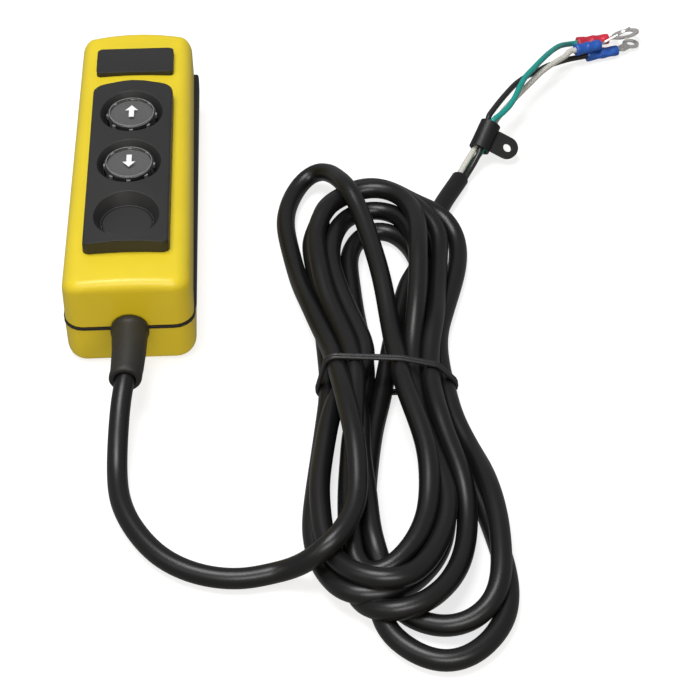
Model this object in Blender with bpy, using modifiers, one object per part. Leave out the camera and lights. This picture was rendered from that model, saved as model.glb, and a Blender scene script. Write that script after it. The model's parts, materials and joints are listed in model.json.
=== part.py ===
"""Two-button pendant control station with its lead tied in a hank.

Lengths are worked out in metres.  +Z points out of the front face, +Y towards the end
without the cable, and the origin is at the middle of the flat rear face.
"""
import math

import bmesh
import bpy
from mathutils import Matrix, Vector

MM = 0.001
GAP = 0.3 * MM                      # clearance kept between touching pieces
ARC_STEPS = 5                       # segments in a rounded corner

# Housing, the two yellow halves
LENGTH = 178 * MM
HALF_LENGTH = LENGTH / 2
HALF_WIDTH = 27.7 * MM              # at the cable end
TOP_TAPER = 0.95                    # width at the far end over width at the cable end
EDGE_HEIGHT = 42.7 * MM             # front face beside its rounded long edges
CROWN = 1.9 * MM                    # rise of the front face along its middle
END_ARCH = 2.5 * MM                 # bow of the far end
CORNER_RADIUS = 8.5 * MM
LONG_EDGE_RADIUS = 6.5 * MM
END_EDGE_RADIUS = 7.5 * MM
WALL = 2.6 * MM
PARTING_Z = 19.35 * MM
SEAM = 1.9 * MM                     # space between the halves, filled by the gasket
REAR_TOP = PARTING_Z - SEAM / 2
FRONT_BOTTOM = PARTING_Z + SEAM / 2
FACE_Z = EDGE_HEIGHT + CROWN

# Control panel, name plate and the three positions along it
PANEL_HALF_WIDTH = 18.3 * MM
PANEL_LOW_Y = -69.5 * MM
PANEL_HIGH_Y = 38.8 * MM
PANEL_ARCH = 2.2 * MM
PANEL_EDGE_Z = 49.8 * MM
PANEL_CROWN = 1.6 * MM
BUTTON_PITCH = 35.2 * MM
UP_Y = 18.4 * MM
DOWN_Y = UP_Y - BUTTON_PITCH
SPARE_Y = DOWN_Y - BUTTON_PITCH
FUNNEL_MOUTH = 14.7 * MM
PLATE_HALF_WIDTH = 17.8 * MM
PLATE_LOW_Y = 53.4 * MM
PLATE_HIGH_Y = 71.6 * MM
PLATE_TOP_Z = FACE_Z + 2.1 * MM

# Push button stack, heights at rest
CAP_RADIUS = 11 * MM
CAP_TOP = 50.7 * MM
CAP_SKIRT = 3.8 * MM
CAP_WALL = 1.1 * MM
BUTTON_TRAVEL = 4 * MM
BUTTON_HOLE = CAP_RADIUS + 2 * GAP
FUNNEL_THROAT = CAP_RADIUS + 1.8 * GAP
STEM_RADIUS = 3.5 * MM
PIN_RADIUS = 2 * MM
STEM_SHOULDER = 34.1 * MM
PIN_END = 29.5 * MM
BUSH_TOP = 41 * MM
BLOCK_BOTTOM = 22.6 * MM
BLOCK_TOP = 36.4 * MM
BLOCK_HALF = (9 * MM, 12.5 * MM)
BLOCK_FLOOR = BLOCK_BOTTOM + 1.4 * MM
BRIDGE_TOP = STEM_SHOULDER - GAP
BRIDGE_THICK = 0.8 * MM
BRIDGE_HALF = (7.2 * MM, 2.6 * MM)
SPRING_RADIUS = 2.75 * MM
SPRING_WIRE = 0.3 * MM
SPRING_TURNS = 5
TERMINAL_Y = 9.3 * MM               # terminal screws, from the middle of a block

# Cable entry
GLAND_X = 0.4 * MM
GLAND_HOLE = 6.9 * MM
CABLE_RADIUS = 4.2 * MM
BORE_RADIUS = CABLE_RADIUS + GAP
BOOT_TIP_Y = -119.5 * MM
CORE_RADIUS = 1.4 * MM

# Cores inside the housing, from the jacket to the side faces of the blocks, in millimetres
INNER_ROUTES = {
    "black": [(-1.6, -68.4, 20.5), (-1.8, -66, 20.5), (-4, -59, 23), (-11, -50, 27),
              (-15, -38, 30), (-15.6, -30, 31), (-13.8, -24.8, 31), (-9.6, -24.8, 31)],
    "white": [(0.4, -68.4, 17.4), (0.2, -66, 17.4), (-6, -59, 18.2), (-14, -52, 22),
              (-18.9, -40, 26), (-19, -10, 27), (-17.4, 4, 30), (-13.8, 10.4, 31),
              (-9.6, 10.4, 31)],
    "green": [(2.4, -68.4, 20.5), (2.6, -66, 20.5), (8, -59, 23), (13, -48, 27),
              (16.4, -34, 31), (13.8, -24.8, 31), (9.6, -24.8, 31)],
}
LINK_ROUTE = [(9.6, -8.8, 31), (13.8, -8.8, 31), (13.8, 10.4, 31), (9.6, 10.4, 31)]

# Fasteners
BOSS_X = 20.5 * MM
BOSS_Y = 77 * MM
SCREW_RADIUS = 1.5 * MM
SCREW_HEAD = 3 * MM
CLAMP_Y = -75 * MM
CLAMP_HALF = (13 * MM, 4 * MM)
CLAMP_SCREW_X = 9.2 * MM

# Hank of cable
HANK_TOP = 17.5 * MM
TIE_Y = -112 * MM
TIE_RADIUS = 1.2 * MM

# Route of the lead from the strain relief to the hank, in millimetres
LEAD_ROUTE = [
    (0.4, -100.3, 19.35), (0.4, -106, 19.35), (0.1, -112, 19.2), (-0.7, -118.5, 18.8),
    (-1.6, -124.5, 17.7), (-2.4, -131, 15.6), (-3.1, -138.5, 12.2), (-3.6, -146.5, 8.5),
    (-3.7, -155, 5.6), (-3.2, -163.5, 4.4), (-1.8, -172, 4.3), (1.4, -181.5, 4.3),
    (6.5, -191, 4.3), (13, -199.6, 4.3), (21, -206.3, 4.3), (31, -211.2, 4.3),
    (42, -213.7, 4.5), (52, -214, 5.4), (61, -213.2, 7.2), (68.3, -211.7, 9.2),
]
# Free end of the cable, from the hank to the cut end of its jacket, in millimetres
TAIL_ROUTE = [(140.6, 2.4, 4.3), (143.4, 7, 4.3), (146.8, 13, 4.3), (150.2, 19.8, 4.3)]
# Outer edge of the hank, seen from above, in millimetres
HANK_OUTLINE = [
    (81.5, -112), (78, -88), (71, -62), (65, -34), (63.5, -6), (68, 13), (80, 23.5),
    (93, 20), (104, 13), (118, 11.5), (131, 6), (143, -2), (149.8, -20), (148, -44),
    (141, -74), (135.6, -98), (134, -112), (138, -134), (147, -165), (154, -200),
    (154.5, -222), (149, -242), (137, -254), (120, -259.5), (105, -254), (91, -241),
    (77, -231), (70.5, -220), (70.2, -205), (70.2, -186), (73.6, -150), (79, -124),
]

# Clip on the cores
CLIP_CENTRE = Vector((163.8, 41.8, 11.6)) * MM
CLIP_ALONG = Vector((0.45, 0.76, 0.47)).normalized()
CLIP_OUT = Vector((0.86, -0.22, -0.36))
CLIP_LENGTH = 14 * MM               # along the cores
CLIP_BORE = 3.7 * MM
CLIP_BAND = 1.3 * MM
CLIP_REACH = 12 * MM                # from the cores to the fixing hole
CLIP_TAB = 5.2 * MM                 # radius of the tab's round end
CLIP_HOLE = 2.2 * MM
CORE_RING = 1.95 * MM               # cores from the middle of their bundle
CORE_TWIST = math.radians(-160)     # turn of the bundle from the jacket to the clip

# Cores beyond the clip, in millimetres, and their angle where they leave the jacket
CORES = {
    "white": (math.radians(100), [(171, 53.5, 13.1), (175.4, 59.6, 13), (181.3, 65.4, 13.2),
              (186.6, 71.4, 14), (192.2, 77.9, 14.4), (199, 87.9, 13.6), (205.8, 97.3, 11.8),
              (211.6, 105.5, 10), (216.4, 111.7, 9.1)]),
    "green": (math.radians(220), [(170.4, 47.8, 17.3), (173.6, 51, 17.9), (176.9, 55.8, 18.5),
              (179.9, 61.7, 19.2), (183, 69.2, 19.6), (186.6, 76.8, 19.6), (191.4, 84.4, 18.9),
              (197.5, 93.6, 17), (204.6, 104.6, 13.2), (211.6, 116, 7.6), (219.5, 126, 3)]),
    "black": (math.radians(340), [(166.4, 51.2, 16.3), (168.9, 55.4, 16.8), (172.6, 61.4, 17),
              (176.9, 68.6, 16.5), (182.4, 77.6, 15.2), (188.1, 84.9, 13.6), (194, 91.3, 11.6),
              (200, 98.9, 9), (206, 105.4, 6.2), (213.4, 111.2, 3.9), (222.8, 114.7, 3.1)]),
}
# Ring terminals: sleeve radius, sleeve end, ring centre, ring normal, ring and stud radii
TERMINALS = {
    "green": (2.5, (235.8, 128.9, 3), (244.8, 130.4, 4.6), (0, 0.37, 0.93), 7, 4.2),
    "white": (2.5, (229.4, 116.8, 8.4), (241.4, 121.3, 12.5), (-0.456, 0.624, 0.624), 4.2, 2.2),
    "black": (2.5, (239.1, 118.6, 3.2), (247, 125.4, 2.1), (0, 0.05, 1), 4.2, 2.2),
}
TONGUE_THICK = 0.9 * MM

PARTS = None                        # collections, made by main()
CUTTERS = None


# ---------------------------------------------------------------- helpers

def clear_scene():
    for obj in list(bpy.data.objects):
        bpy.data.objects.remove(obj, do_unlink=True)


def new_collection(name):
    collection = bpy.data.collections.new(name)
    bpy.context.scene.collection.children.link(collection)
    return collection


def material(name, colour, roughness, metallic=0.0, alpha=1.0):
    """A plain Principled material, made once for each name."""
    found = bpy.data.materials.get(name)
    if found:
        return found
    made = bpy.data.materials.new(name)
    made.use_nodes = True
    shader = made.node_tree.nodes["Principled BSDF"]
    shader.inputs["Base Color"].default_value = (*colour, 1)
    shader.inputs["Roughness"].default_value = roughness
    shader.inputs["Metallic"].default_value = metallic
    shader.inputs["Alpha"].default_value = alpha
    return made


def yellow_plastic():
    return material("yellow_plastic", (0.83, 0.62, 0.04), 0.42)


def black_plastic():
    return material("black_plastic", (0.045, 0.045, 0.047), 0.55)


def soft_rubber():
    return material("soft_rubber", (0.035, 0.035, 0.034), 0.7)


def smoked_lens():
    return material("smoked_lens", (0.2, 0.2, 0.21), 0.2, alpha=0.7)


def legend_grey():
    return material("legend_grey", (0.24, 0.24, 0.25), 0.5)


def cream_plastic():
    return material("cream_plastic", (0.6, 0.57, 0.48), 0.5)


def bright_steel():
    return material("bright_steel", (0.6, 0.6, 0.6), 0.3, metallic=1.0)


def tinned_copper():
    return material("tinned_copper", (0.75, 0.74, 0.72), 0.28, metallic=1.0)


def brass():
    return material("brass", (0.72, 0.55, 0.25), 0.3, metallic=1.0)


def cable_jacket():
    return material("cable_jacket", (0.02, 0.02, 0.021), 0.35)


def link(obj, collection, paint=None):
    for old in list(obj.users_collection):
        old.objects.unlink(obj)
    collection.objects.link(obj)
    if paint:
        obj.data.materials.clear()
        obj.data.materials.append(paint)
    return obj


def part(obj, name, paint):
    """File a finished piece under its name, with its material."""
    obj.name = name
    return link(obj, PARTS, paint)


def hide_as_cutter(obj):
    obj.hide_render = True
    obj.display_type = "WIRE"
    return link(obj, CUTTERS)


def settle(obj):
    """Turn an object's curve or modifiers into a plain welded mesh."""
    graph = bpy.context.evaluated_depsgraph_get()
    mesh = bpy.data.meshes.new_from_object(obj.evaluated_get(graph))
    shape = bmesh.new()
    shape.from_mesh(mesh)
    bmesh.ops.remove_doubles(shape, verts=shape.verts, dist=0.002 * MM)
    shape.to_mesh(mesh)
    shape.free()
    plain = bpy.data.objects.new(obj.name, mesh)
    plain.matrix_world = obj.matrix_world
    bpy.context.scene.collection.objects.link(plain)
    bpy.data.objects.remove(obj, do_unlink=True)
    return plain


def combine(obj, tool, operation):
    """Boolean with another object, worked out at once; the tool stays as a hidden cutter."""
    change = obj.modifiers.new(operation.lower(), "BOOLEAN")
    change.operation = operation
    change.object = hide_as_cutter(tool)
    return settle(obj)


def cut(obj, *tools):
    for tool in tools:
        obj = combine(obj, tool, "DIFFERENCE")
    return obj


def box(low, high):
    """A block between two opposite corners."""
    bpy.ops.mesh.primitive_cube_add(size=1)
    obj = bpy.context.object
    size = Vector(high) - Vector(low)
    obj.data.transform(Matrix.Translation(Vector(low) + size / 2) @ Matrix.Diagonal((*size, 1)))
    return obj


def cylinder(radius, low, high, centre=(0, 0), sides=32):
    """An upright round bar between two heights."""
    bpy.ops.mesh.primitive_cylinder_add(vertices=sides, radius=radius, depth=high - low)
    obj = bpy.context.object
    obj.data.transform(Matrix.Translation((*centre, (low + high) / 2)))
    return obj


def cone(low_radius, high_radius, low, high, centre, sides=40):
    bpy.ops.mesh.primitive_cone_add(vertices=sides, radius1=low_radius, radius2=high_radius,
                                    depth=high - low)
    obj = bpy.context.object
    obj.data.transform(Matrix.Translation((*centre, (low + high) / 2)))
    return obj


def turned(profile, centre=(0, 0), steps=32, closed=False):
    """A solid of revolution about an upright axis; the profile is (radius, height) pairs."""
    mesh = bpy.data.meshes.new("profile")
    edges = [(i, i + 1) for i in range(len(profile) - 1)]
    if closed:
        edges.append((len(profile) - 1, 0))
    mesh.from_pydata([(radius, 0, height) for radius, height in profile], edges, [])
    obj = bpy.data.objects.new("turned", mesh)
    bpy.context.scene.collection.objects.link(obj)
    screw = obj.modifiers.new("screw", "SCREW")
    screw.steps = screw.render_steps = steps
    screw.use_merge_vertices = True
    screw.merge_threshold = 0.01 * MM
    screw.use_smooth_shade = True
    solid = settle(obj)
    solid.data.transform(Matrix.Translation((*centre, 0)))
    return solid


def rounded(corners, steps=ARC_STEPS):
    """Outline through corners given as (u, v, radius), anticlockwise, rounded by arcs."""
    points = []
    count = len(corners)
    for i, (u, v, radius) in enumerate(corners):
        here = Vector((u, v))
        if radius <= 0:
            points.append(here)
            continue
        back = (Vector(corners[i - 1][:2]) - here).normalized()
        ahead = (Vector(corners[(i + 1) % count][:2]) - here).normalized()
        half = back.angle(ahead) / 2
        middle = here + (back + ahead).normalized() * radius / math.sin(half)
        start = here + back * radius / math.tan(half) - middle
        sweep = math.pi - 2 * half
        for step in range(steps + 1):
            turn = Matrix.Rotation(sweep * step / steps, 2)
            points.append(middle + turn @ start)
    return points


def arch(half_span, base, rise, steps=5):
    """Points of a shallow bow from +half_span to -half_span, without its ends."""
    spots = [half_span * (1 - 2 * i / (steps + 1)) for i in range(1, steps + 1)]
    return [(u, base + rise * (1 - (u / half_span) ** 2), 0) for u in spots]


PRISM_TURNS = {
    "Z": Matrix.Identity(4),
    "Y": Matrix.Rotation(math.pi / 2, 4, "X"),
    "X": Matrix(((0, 0, 1, 0), (1, 0, 0, 0), (0, 1, 0, 0), (0, 0, 0, 1))),
}


def prism(outline, low, high, axis="Z"):
    """A flat outline pushed along an axis: seen along Z as XY, along Y as XZ, along X as YZ."""
    curve = bpy.data.curves.new("outline", "CURVE")
    curve.dimensions = "2D"
    curve.fill_mode = "BOTH"
    curve.extrude = (high - low) / 2
    spline = curve.splines.new("POLY")
    spline.points.add(len(outline) - 1)
    for point, spot in zip(spline.points, outline):
        point.co = (spot[0], spot[1], 0, 1)
    spline.use_cyclic_u = True
    obj = bpy.data.objects.new("prism", curve)
    bpy.context.scene.collection.objects.link(obj)
    solid = settle(obj)
    middle = (low + high) / 2
    along = {"Z": (0, 0, middle), "Y": (0, middle, 0), "X": (middle, 0, 0)}[axis]
    solid.data.transform(Matrix.Translation(along) @ PRISM_TURNS[axis])
    return solid


def smooth_route(points, spacing, closed=False):
    """Evenly spaced points on a Catmull-Rom curve through hand-chosen ones."""
    knots = [Vector(p) for p in points]
    if closed:
        knots = [knots[-1]] + knots + knots[:2]
    else:
        knots = [2 * knots[0] - knots[1]] + knots + [2 * knots[-1] - knots[-2]]
    fine = []
    for a, b, c, d in zip(knots, knots[1:], knots[2:], knots[3:]):
        for step in range(20):
            t = step / 20
            fine.append(0.5 * (2 * b + (c - a) * t + (2 * a - 5 * b + 4 * c - d) * t * t
                               + (3 * b - a - 3 * c + d) * t ** 3))
    if not closed:
        fine.append(knots[-2])
    ends = fine + fine[:1] if closed else fine
    total = sum((q - p).length for p, q in zip(ends, ends[1:]))
    count = max(2, round(total / spacing))
    marks = [total * i / count for i in range(count if closed else count + 1)]
    result = []
    run = 0.0
    i = 0
    for mark in marks:
        while i < len(ends) - 2 and run + (ends[i + 1] - ends[i]).length < mark:
            run += (ends[i + 1] - ends[i]).length
            i += 1
        leg = ends[i + 1] - ends[i]
        result.append(ends[i] + leg * min(1, (mark - run) / leg.length))
    return result


def tube(points, radius, closed=False, resolution=2):
    """A round wire or cable along given points."""
    curve = bpy.data.curves.new("route", "CURVE")
    curve.dimensions = "3D"
    curve.bevel_depth = radius
    curve.bevel_resolution = resolution
    curve.use_fill_caps = not closed
    spline = curve.splines.new("POLY")
    spline.points.add(len(points) - 1)
    for point, spot in zip(spline.points, points):
        point.co = (*spot, 1)
    spline.use_cyclic_u = closed
    obj = bpy.data.objects.new("tube", curve)
    bpy.context.scene.collection.objects.link(obj)
    return obj


def in_metres(points):
    return [Vector(p) * MM for p in points]


def frame_from(centre, along, out):
    """Placement whose Z runs along one direction and whose X leans towards another."""
    z_axis = along.normalized()
    y_axis = z_axis.cross(out).normalized()
    x_axis = y_axis.cross(z_axis)
    turn = Matrix((x_axis, y_axis, z_axis)).transposed().to_4x4()
    return Matrix.Translation(centre) @ turn


def level_cylinder_y(radius, low, high, x, z, sides=32):
    """A round bar lying along Y."""
    bpy.ops.mesh.primitive_cylinder_add(vertices=sides, radius=radius, depth=high - low)
    obj = bpy.context.object
    obj.data.transform(Matrix.Translation((x, (low + high) / 2, z))
                       @ Matrix.Rotation(math.pi / 2, 4, "X"))
    return obj


# ---------------------------------------------------------------- housing

def taper(obj):
    """Narrow a solid evenly from the cable end to the far end."""
    for vertex in obj.data.vertices:
        share = (vertex.co.y + HALF_LENGTH) / LENGTH
        vertex.co.x *= 1 + (TOP_TAPER - 1) * share
    return obj


def housing_plan(inset):
    """Outline of the housing from the front, set in by a distance all round."""
    low = -HALF_LENGTH + inset
    high = HALF_LENGTH - END_ARCH - inset
    half = HALF_WIDTH - inset
    far_half = HALF_WIDTH * TOP_TAPER - inset
    radius = CORNER_RADIUS - inset
    bow = arch(far_half - radius, high, END_ARCH)
    return rounded([(-half, low, radius), (half, low, radius), (far_half, high, radius), *bow,
                    (-far_half, high, radius)])


def housing_solid(inset):
    """The housing as one solid: its plan, its crowned cross-section and its side view meet."""
    half = HALF_WIDTH - inset
    edge = EDGE_HEIGHT - inset
    radius = LONG_EDGE_RADIUS - inset
    crown = arch(half - radius / 2, edge, CROWN)
    lean = 0.6 * MM
    section = rounded([(-half, inset, radius), (half, inset, radius),
                       (half - lean, edge, radius), *crown, (-half + lean, edge, radius)])
    low = -HALF_LENGTH + inset
    high = HALF_LENGTH - inset
    top = FACE_Z - inset
    end_radius = END_EDGE_RADIUS - inset
    side = rounded([(low, inset, end_radius), (high, inset, end_radius),
                    (high, top, end_radius - MM), (low, top, end_radius + MM)])
    solid = prism(housing_plan(inset), -5 * MM, 60 * MM)
    solid = combine(solid, taper(prism(section, -HALF_LENGTH - 5 * MM, HALF_LENGTH + 5 * MM, "Y")),
                    "INTERSECT")
    return combine(solid, prism(side, -40 * MM, 40 * MM, "X"), "INTERSECT")


def boss_spots():
    return [(x, y) for x in (-BOSS_X, BOSS_X) for y in (-BOSS_Y, BOSS_Y)]


def gland_cutter():
    return level_cylinder_y(GLAND_HOLE, -HALF_LENGTH - 6 * MM, -HALF_LENGTH + WALL + 3 * MM,
                            GLAND_X, PARTING_Z)


def front_housing():
    shell = housing_solid(0)
    shell = cut(shell, box((-0.1, -0.2, -0.1), (0.1, 0.2, FRONT_BOTTOM)), housing_solid(WALL))
    for spot in boss_spots():
        shell = combine(shell, cylinder(4.6 * MM, FRONT_BOTTOM, FACE_Z - 3 * MM, spot, 20), "UNION")
        shell = cut(shell, cylinder(SCREW_RADIUS + GAP, 0, 36 * MM, spot, 16))
    for y in (UP_Y, DOWN_Y):
        shell = cut(shell, cylinder(BUTTON_HOLE, 38 * MM, 50 * MM, (0, y)))
    shell = cut(shell, cylinder(8.2 * MM, 36 * MM, 50 * MM, (0, SPARE_Y)), gland_cutter())
    part(shell, "front_housing", yellow_plastic())


def rear_housing():
    shell = housing_solid(0)
    shell = cut(shell, box((-0.1, -0.2, REAR_TOP), (0.1, 0.2, 0.1)), housing_solid(WALL))
    for spot in boss_spots():
        shell = combine(shell, cylinder(5 * MM, WALL / 2, REAR_TOP, spot, 20), "UNION")
    for y in (-38 * MM, 38 * MM):
        rib = box((-26 * MM, y - MM, WALL / 2), (26 * MM, y + MM, REAR_TOP - MM))
        shell = combine(shell, rib, "UNION")
    half_x, half_y = CLAMP_HALF
    pedestal = box((GLAND_X - half_x, CLAMP_Y - half_y, WALL / 2),
                   (GLAND_X + half_x, CLAMP_Y + half_y, PARTING_Z - 0.5 * MM))
    shell = combine(shell, pedestal, "UNION")
    shell = cut(shell, gland_cutter(), cable_channel())
    for spot in boss_spots():
        shell = cut(shell, cylinder(SCREW_RADIUS + GAP, -MM, 30 * MM, spot, 16),
                    cylinder(SCREW_HEAD + GAP, -MM, 4.4 * MM, spot, 20))
    for x in clamp_screw_spots():
        shell = cut(shell, cylinder(1.5 * MM, 8 * MM, 30 * MM, (x, CLAMP_Y), 12))
    part(shell, "rear_housing", yellow_plastic())


def housing_gasket():
    ring = prism(housing_plan(-GAP), REAR_TOP + GAP, FRONT_BOTTOM - GAP)
    hollow = prism(housing_plan(WALL - GAP), 0, 40 * MM)
    part(cut(ring, hollow, gland_cutter()), "housing_gasket", soft_rubber())


def side_grip(side, name):
    """Rubber strip over the seam of one long side, its outer face straight and its ends round."""
    radius = 5.4 * MM
    low, high = -76 * MM, 83 * MM
    bottom, top = PARTING_Z - radius, PARTING_Z + radius
    outline = rounded([(low, bottom, radius - GAP), (high, bottom, radius - GAP),
                       (high, top, radius - GAP), (low, top, radius - GAP)])
    inner, outer = side * 24 * MM, side * 28.7 * MM
    strip = prism(outline, min(inner, outer), max(inner, outer), "X")
    part(cut(strip, housing_solid(-2 * GAP)), name, soft_rubber())


def housing_screws():
    for number, spot in enumerate(boss_spots(), 1):
        screw = turned([(0, 33 * MM), (SCREW_RADIUS, 32.4 * MM), (SCREW_RADIUS, 4.1 * MM),
                        (SCREW_HEAD, 4.1 * MM), (SCREW_HEAD, 1.8 * MM), (2.4 * MM, 1.2 * MM),
                        (0, 1.2 * MM)], spot, 16)
        x, y = spot
        slot = box((x - 2.6 * MM, y - 0.5 * MM, 0), (x + 2.6 * MM, y + 0.5 * MM, 2.2 * MM))
        part(cut(screw, slot), "housing_screw_%d" % number, bright_steel())


# ---------------------------------------------------------------- front panel

def control_panel():
    """Thick raised panel with a round funnel over each of its three positions."""
    half = PANEL_HALF_WIDTH
    plan = rounded([(-half - GAP, PANEL_LOW_Y, 3.5 * MM), (half + GAP, PANEL_LOW_Y, 3.5 * MM),
                    (half, PANEL_HIGH_Y, 6 * MM), *arch(half - 5 * MM, PANEL_HIGH_Y, PANEL_ARCH),
                    (-half, PANEL_HIGH_Y, 6 * MM)])
    foot = half + GAP
    section = rounded([(-foot, 40 * MM, 0), (foot, 40 * MM, 0), (half - GAP, PANEL_EDGE_Z, MM),
                       *arch(half - 1.5 * MM, PANEL_EDGE_Z, PANEL_CROWN),
                       (-half + GAP, PANEL_EDGE_Z, MM)], 3)
    panel = combine(prism(plan, 40 * MM, 60 * MM), prism(section, -0.1, 0.1, "Y"), "INTERSECT")
    panel = cut(panel, housing_solid(-GAP))
    throat = FACE_Z + MM
    rim = PANEL_EDGE_Z + PANEL_CROWN
    above = 4 * MM
    mouth = FUNNEL_MOUTH + (FUNNEL_MOUTH - FUNNEL_THROAT) / (rim - throat) * above
    for y in (UP_Y, DOWN_Y, SPARE_Y):
        panel = cut(panel, cone(FUNNEL_THROAT, mouth, throat, rim + above, (0, y)),
                    cylinder(FUNNEL_THROAT, 40 * MM, throat + MM, (0, y), 40))
    part(panel, "control_panel", black_plastic())


def name_plate():
    """Blank raised plate above the buttons."""
    half = PLATE_HALF_WIDTH
    outline = rounded([(-half, PLATE_LOW_Y, 2 * MM), (half, PLATE_LOW_Y, 2 * MM),
                       (half, PLATE_HIGH_Y, 2.5 * MM), (-half, PLATE_HIGH_Y, 2.5 * MM)])
    plate = cut(prism(outline, 40 * MM, PLATE_TOP_Z), housing_solid(-GAP))
    part(plate, "name_plate", black_plastic())


def blanking_plug():
    """Plug that closes the third, unused position."""
    plug = turned([(0, 45.9 * MM), (10.2 * MM, 45.9 * MM), (10.9 * MM, 45.5 * MM),
                   (10.9 * MM, FACE_Z + GAP), (7.9 * MM, FACE_Z + GAP), (7.9 * MM, 37 * MM),
                   (6.6 * MM, 37 * MM), (6.6 * MM, 44.4 * MM), (0, 44.4 * MM)], (0, SPARE_Y), 26)
    part(plug, "blanking_plug", black_plastic())


# ---------------------------------------------------------------- push buttons

def button_cap(y, name):
    """Smoked lens with a turned-down skirt that is notched all round."""
    skirt = CAP_TOP - CAP_SKIRT
    inside = CAP_RADIUS - CAP_WALL
    cap = turned([(0, CAP_TOP), (CAP_RADIUS - 1.2 * MM, CAP_TOP), (CAP_RADIUS, CAP_TOP - 0.9 * MM),
                  (CAP_RADIUS, skirt), (inside, skirt), (inside, CAP_TOP - 1.2 * MM),
                  (0, CAP_TOP - 1.2 * MM)], (0, y), 32)
    reach = CAP_RADIUS + MM
    notch = box((-reach, -1.4 * MM, skirt - MM), (reach, 1.4 * MM, skirt + 1.3 * MM))
    for turn in range(4):
        tool = notch.copy()
        tool.data = notch.data.copy()
        bpy.context.scene.collection.objects.link(tool)
        spin = Matrix.Rotation(math.pi * (turn + 0.5) / 4, 4, "Z")
        tool.data.transform(Matrix.Translation((0, y, 0)) @ spin)
        cap = cut(cap, tool)
    bpy.data.objects.remove(notch, do_unlink=True)
    part(cap, name + "_button_cap", smoked_lens())


def button_legend(y, name):
    """Disc that carries the arrow, held under the lens."""
    disc = cylinder(CAP_RADIUS - CAP_WALL - GAP, CAP_TOP - 2 * MM, CAP_TOP - 1.5 * MM, (0, y), 28)
    part(disc, name + "_button_legend", legend_grey())


def button_plunger(y, name):
    head = CAP_RADIUS - CAP_WALL - GAP
    top = CAP_TOP - 2.3 * MM
    collar = CAP_TOP - CAP_SKIRT
    plunger = turned([(0, top), (head, top), (head, collar), (STEM_RADIUS, collar),
                      (STEM_RADIUS, STEM_SHOULDER), (PIN_RADIUS, STEM_SHOULDER),
                      (PIN_RADIUS, PIN_END), (0, PIN_END)], (0, y), 20)
    part(plunger, name + "_plunger", black_plastic())


def button_seal(y, name):
    """Rubber washer that keeps water out of the guide."""
    inner, low = STEM_RADIUS + GAP, BUSH_TOP + GAP
    seal = turned([(inner, 42.1 * MM), (7 * MM, 42.3 * MM), (10.8 * MM, 41.9 * MM),
                   (10.8 * MM, low), (inner, low)], (0, y), 24, closed=True)
    part(seal, name + "_button_seal", soft_rubber())


def guide_bush(y, name):
    """Flanged guide for the plunger, under the front wall."""
    inner, flange = STEM_RADIUS + GAP, BUSH_TOP - 1.8 * MM
    bush = turned([(inner, BUSH_TOP), (13.2 * MM, BUSH_TOP), (13.2 * MM, flange),
                   (6.5 * MM, flange), (6.5 * MM, BLOCK_TOP + GAP),
                   (inner, BLOCK_TOP + GAP)], (0, y), 24, closed=True)
    part(bush, name + "_guide_bush", black_plastic())


def contact_block(y, name):
    """Insulating block with a well for the plunger and a slot for the contact bridge."""
    half_x, half_y = BLOCK_HALF
    block = box((-half_x, y - half_y, BLOCK_BOTTOM), (half_x, y + half_y, BLOCK_TOP))
    block = cut(block, cylinder(STEM_RADIUS + 1.1 * MM, BLOCK_FLOOR, 40 * MM, (0, y), 24),
                box((-8 * MM, y - 3.2 * MM, 26 * MM), (8 * MM, y + 3.2 * MM, 40 * MM)))
    for side in (-1, 1):
        block = cut(block, cylinder(1.5 * MM, 28 * MM, 40 * MM, (0, y + side * TERMINAL_Y), 12))
    part(block, name + "_contact_block", cream_plastic())


def contact_bridge(y, name):
    half_x, half_y = BRIDGE_HALF
    bar = box((-half_x, y - half_y, BRIDGE_TOP - BRIDGE_THICK), (half_x, y + half_y, BRIDGE_TOP))
    bar = cut(bar, cylinder(PIN_RADIUS + GAP, 30 * MM, 36 * MM, (0, y), 20))
    part(bar, name + "_contact_bridge", brass())


def return_spring(y, name):
    low = BLOCK_FLOOR + GAP + SPRING_WIRE
    high = BRIDGE_TOP - BRIDGE_THICK - GAP - SPRING_WIRE
    steps = SPRING_TURNS * 9
    points = []
    for step in range(steps + 1):
        share = step / steps
        angle = 2 * math.pi * SPRING_TURNS * share
        points.append((SPRING_RADIUS * math.cos(angle), y + SPRING_RADIUS * math.sin(angle),
                       low + (high - low) * share))
    part(tube(points, SPRING_WIRE, resolution=1), name + "_return_spring", bright_steel())


def terminal_screws(y, name):
    for number, side in enumerate((-1, 1), 1):
        screw = turned([(0, 38.4 * MM), (2.2 * MM, 38.4 * MM), (2.4 * MM, 38.1 * MM),
                        (2.4 * MM, BLOCK_TOP + GAP), (1.2 * MM, BLOCK_TOP + GAP), (1.2 * MM, 29 * MM),
                        (0, 29 * MM)], (0, y + side * TERMINAL_Y), 12)
        part(screw, "%s_terminal_screw_%d" % (name, number), brass())


def push_button(y, name):
    button_cap(y, name)
    button_legend(y, name)
    button_plunger(y, name)
    button_seal(y, name)
    guide_bush(y, name)
    contact_block(y, name)
    contact_bridge(y, name)
    return_spring(y, name)
    terminal_screws(y, name)


def contact_carrier():
    """Plate across the ribs of the rear half, under both contact blocks."""
    plate = box((-21 * MM, -44 * MM, FRONT_BOTTOM + GAP), (21 * MM, 42 * MM, BLOCK_BOTTOM - GAP))
    part(plate, "contact_carrier", cream_plastic())


# ---------------------------------------------------------------- cable entry

def cable_channel():
    return level_cylinder_y(BORE_RADIUS, -82 * MM, -66 * MM, GLAND_X, PARTING_Z, 24)


def clamp_screw_spots():
    return [GLAND_X - CLAMP_SCREW_X, GLAND_X + CLAMP_SCREW_X]


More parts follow.
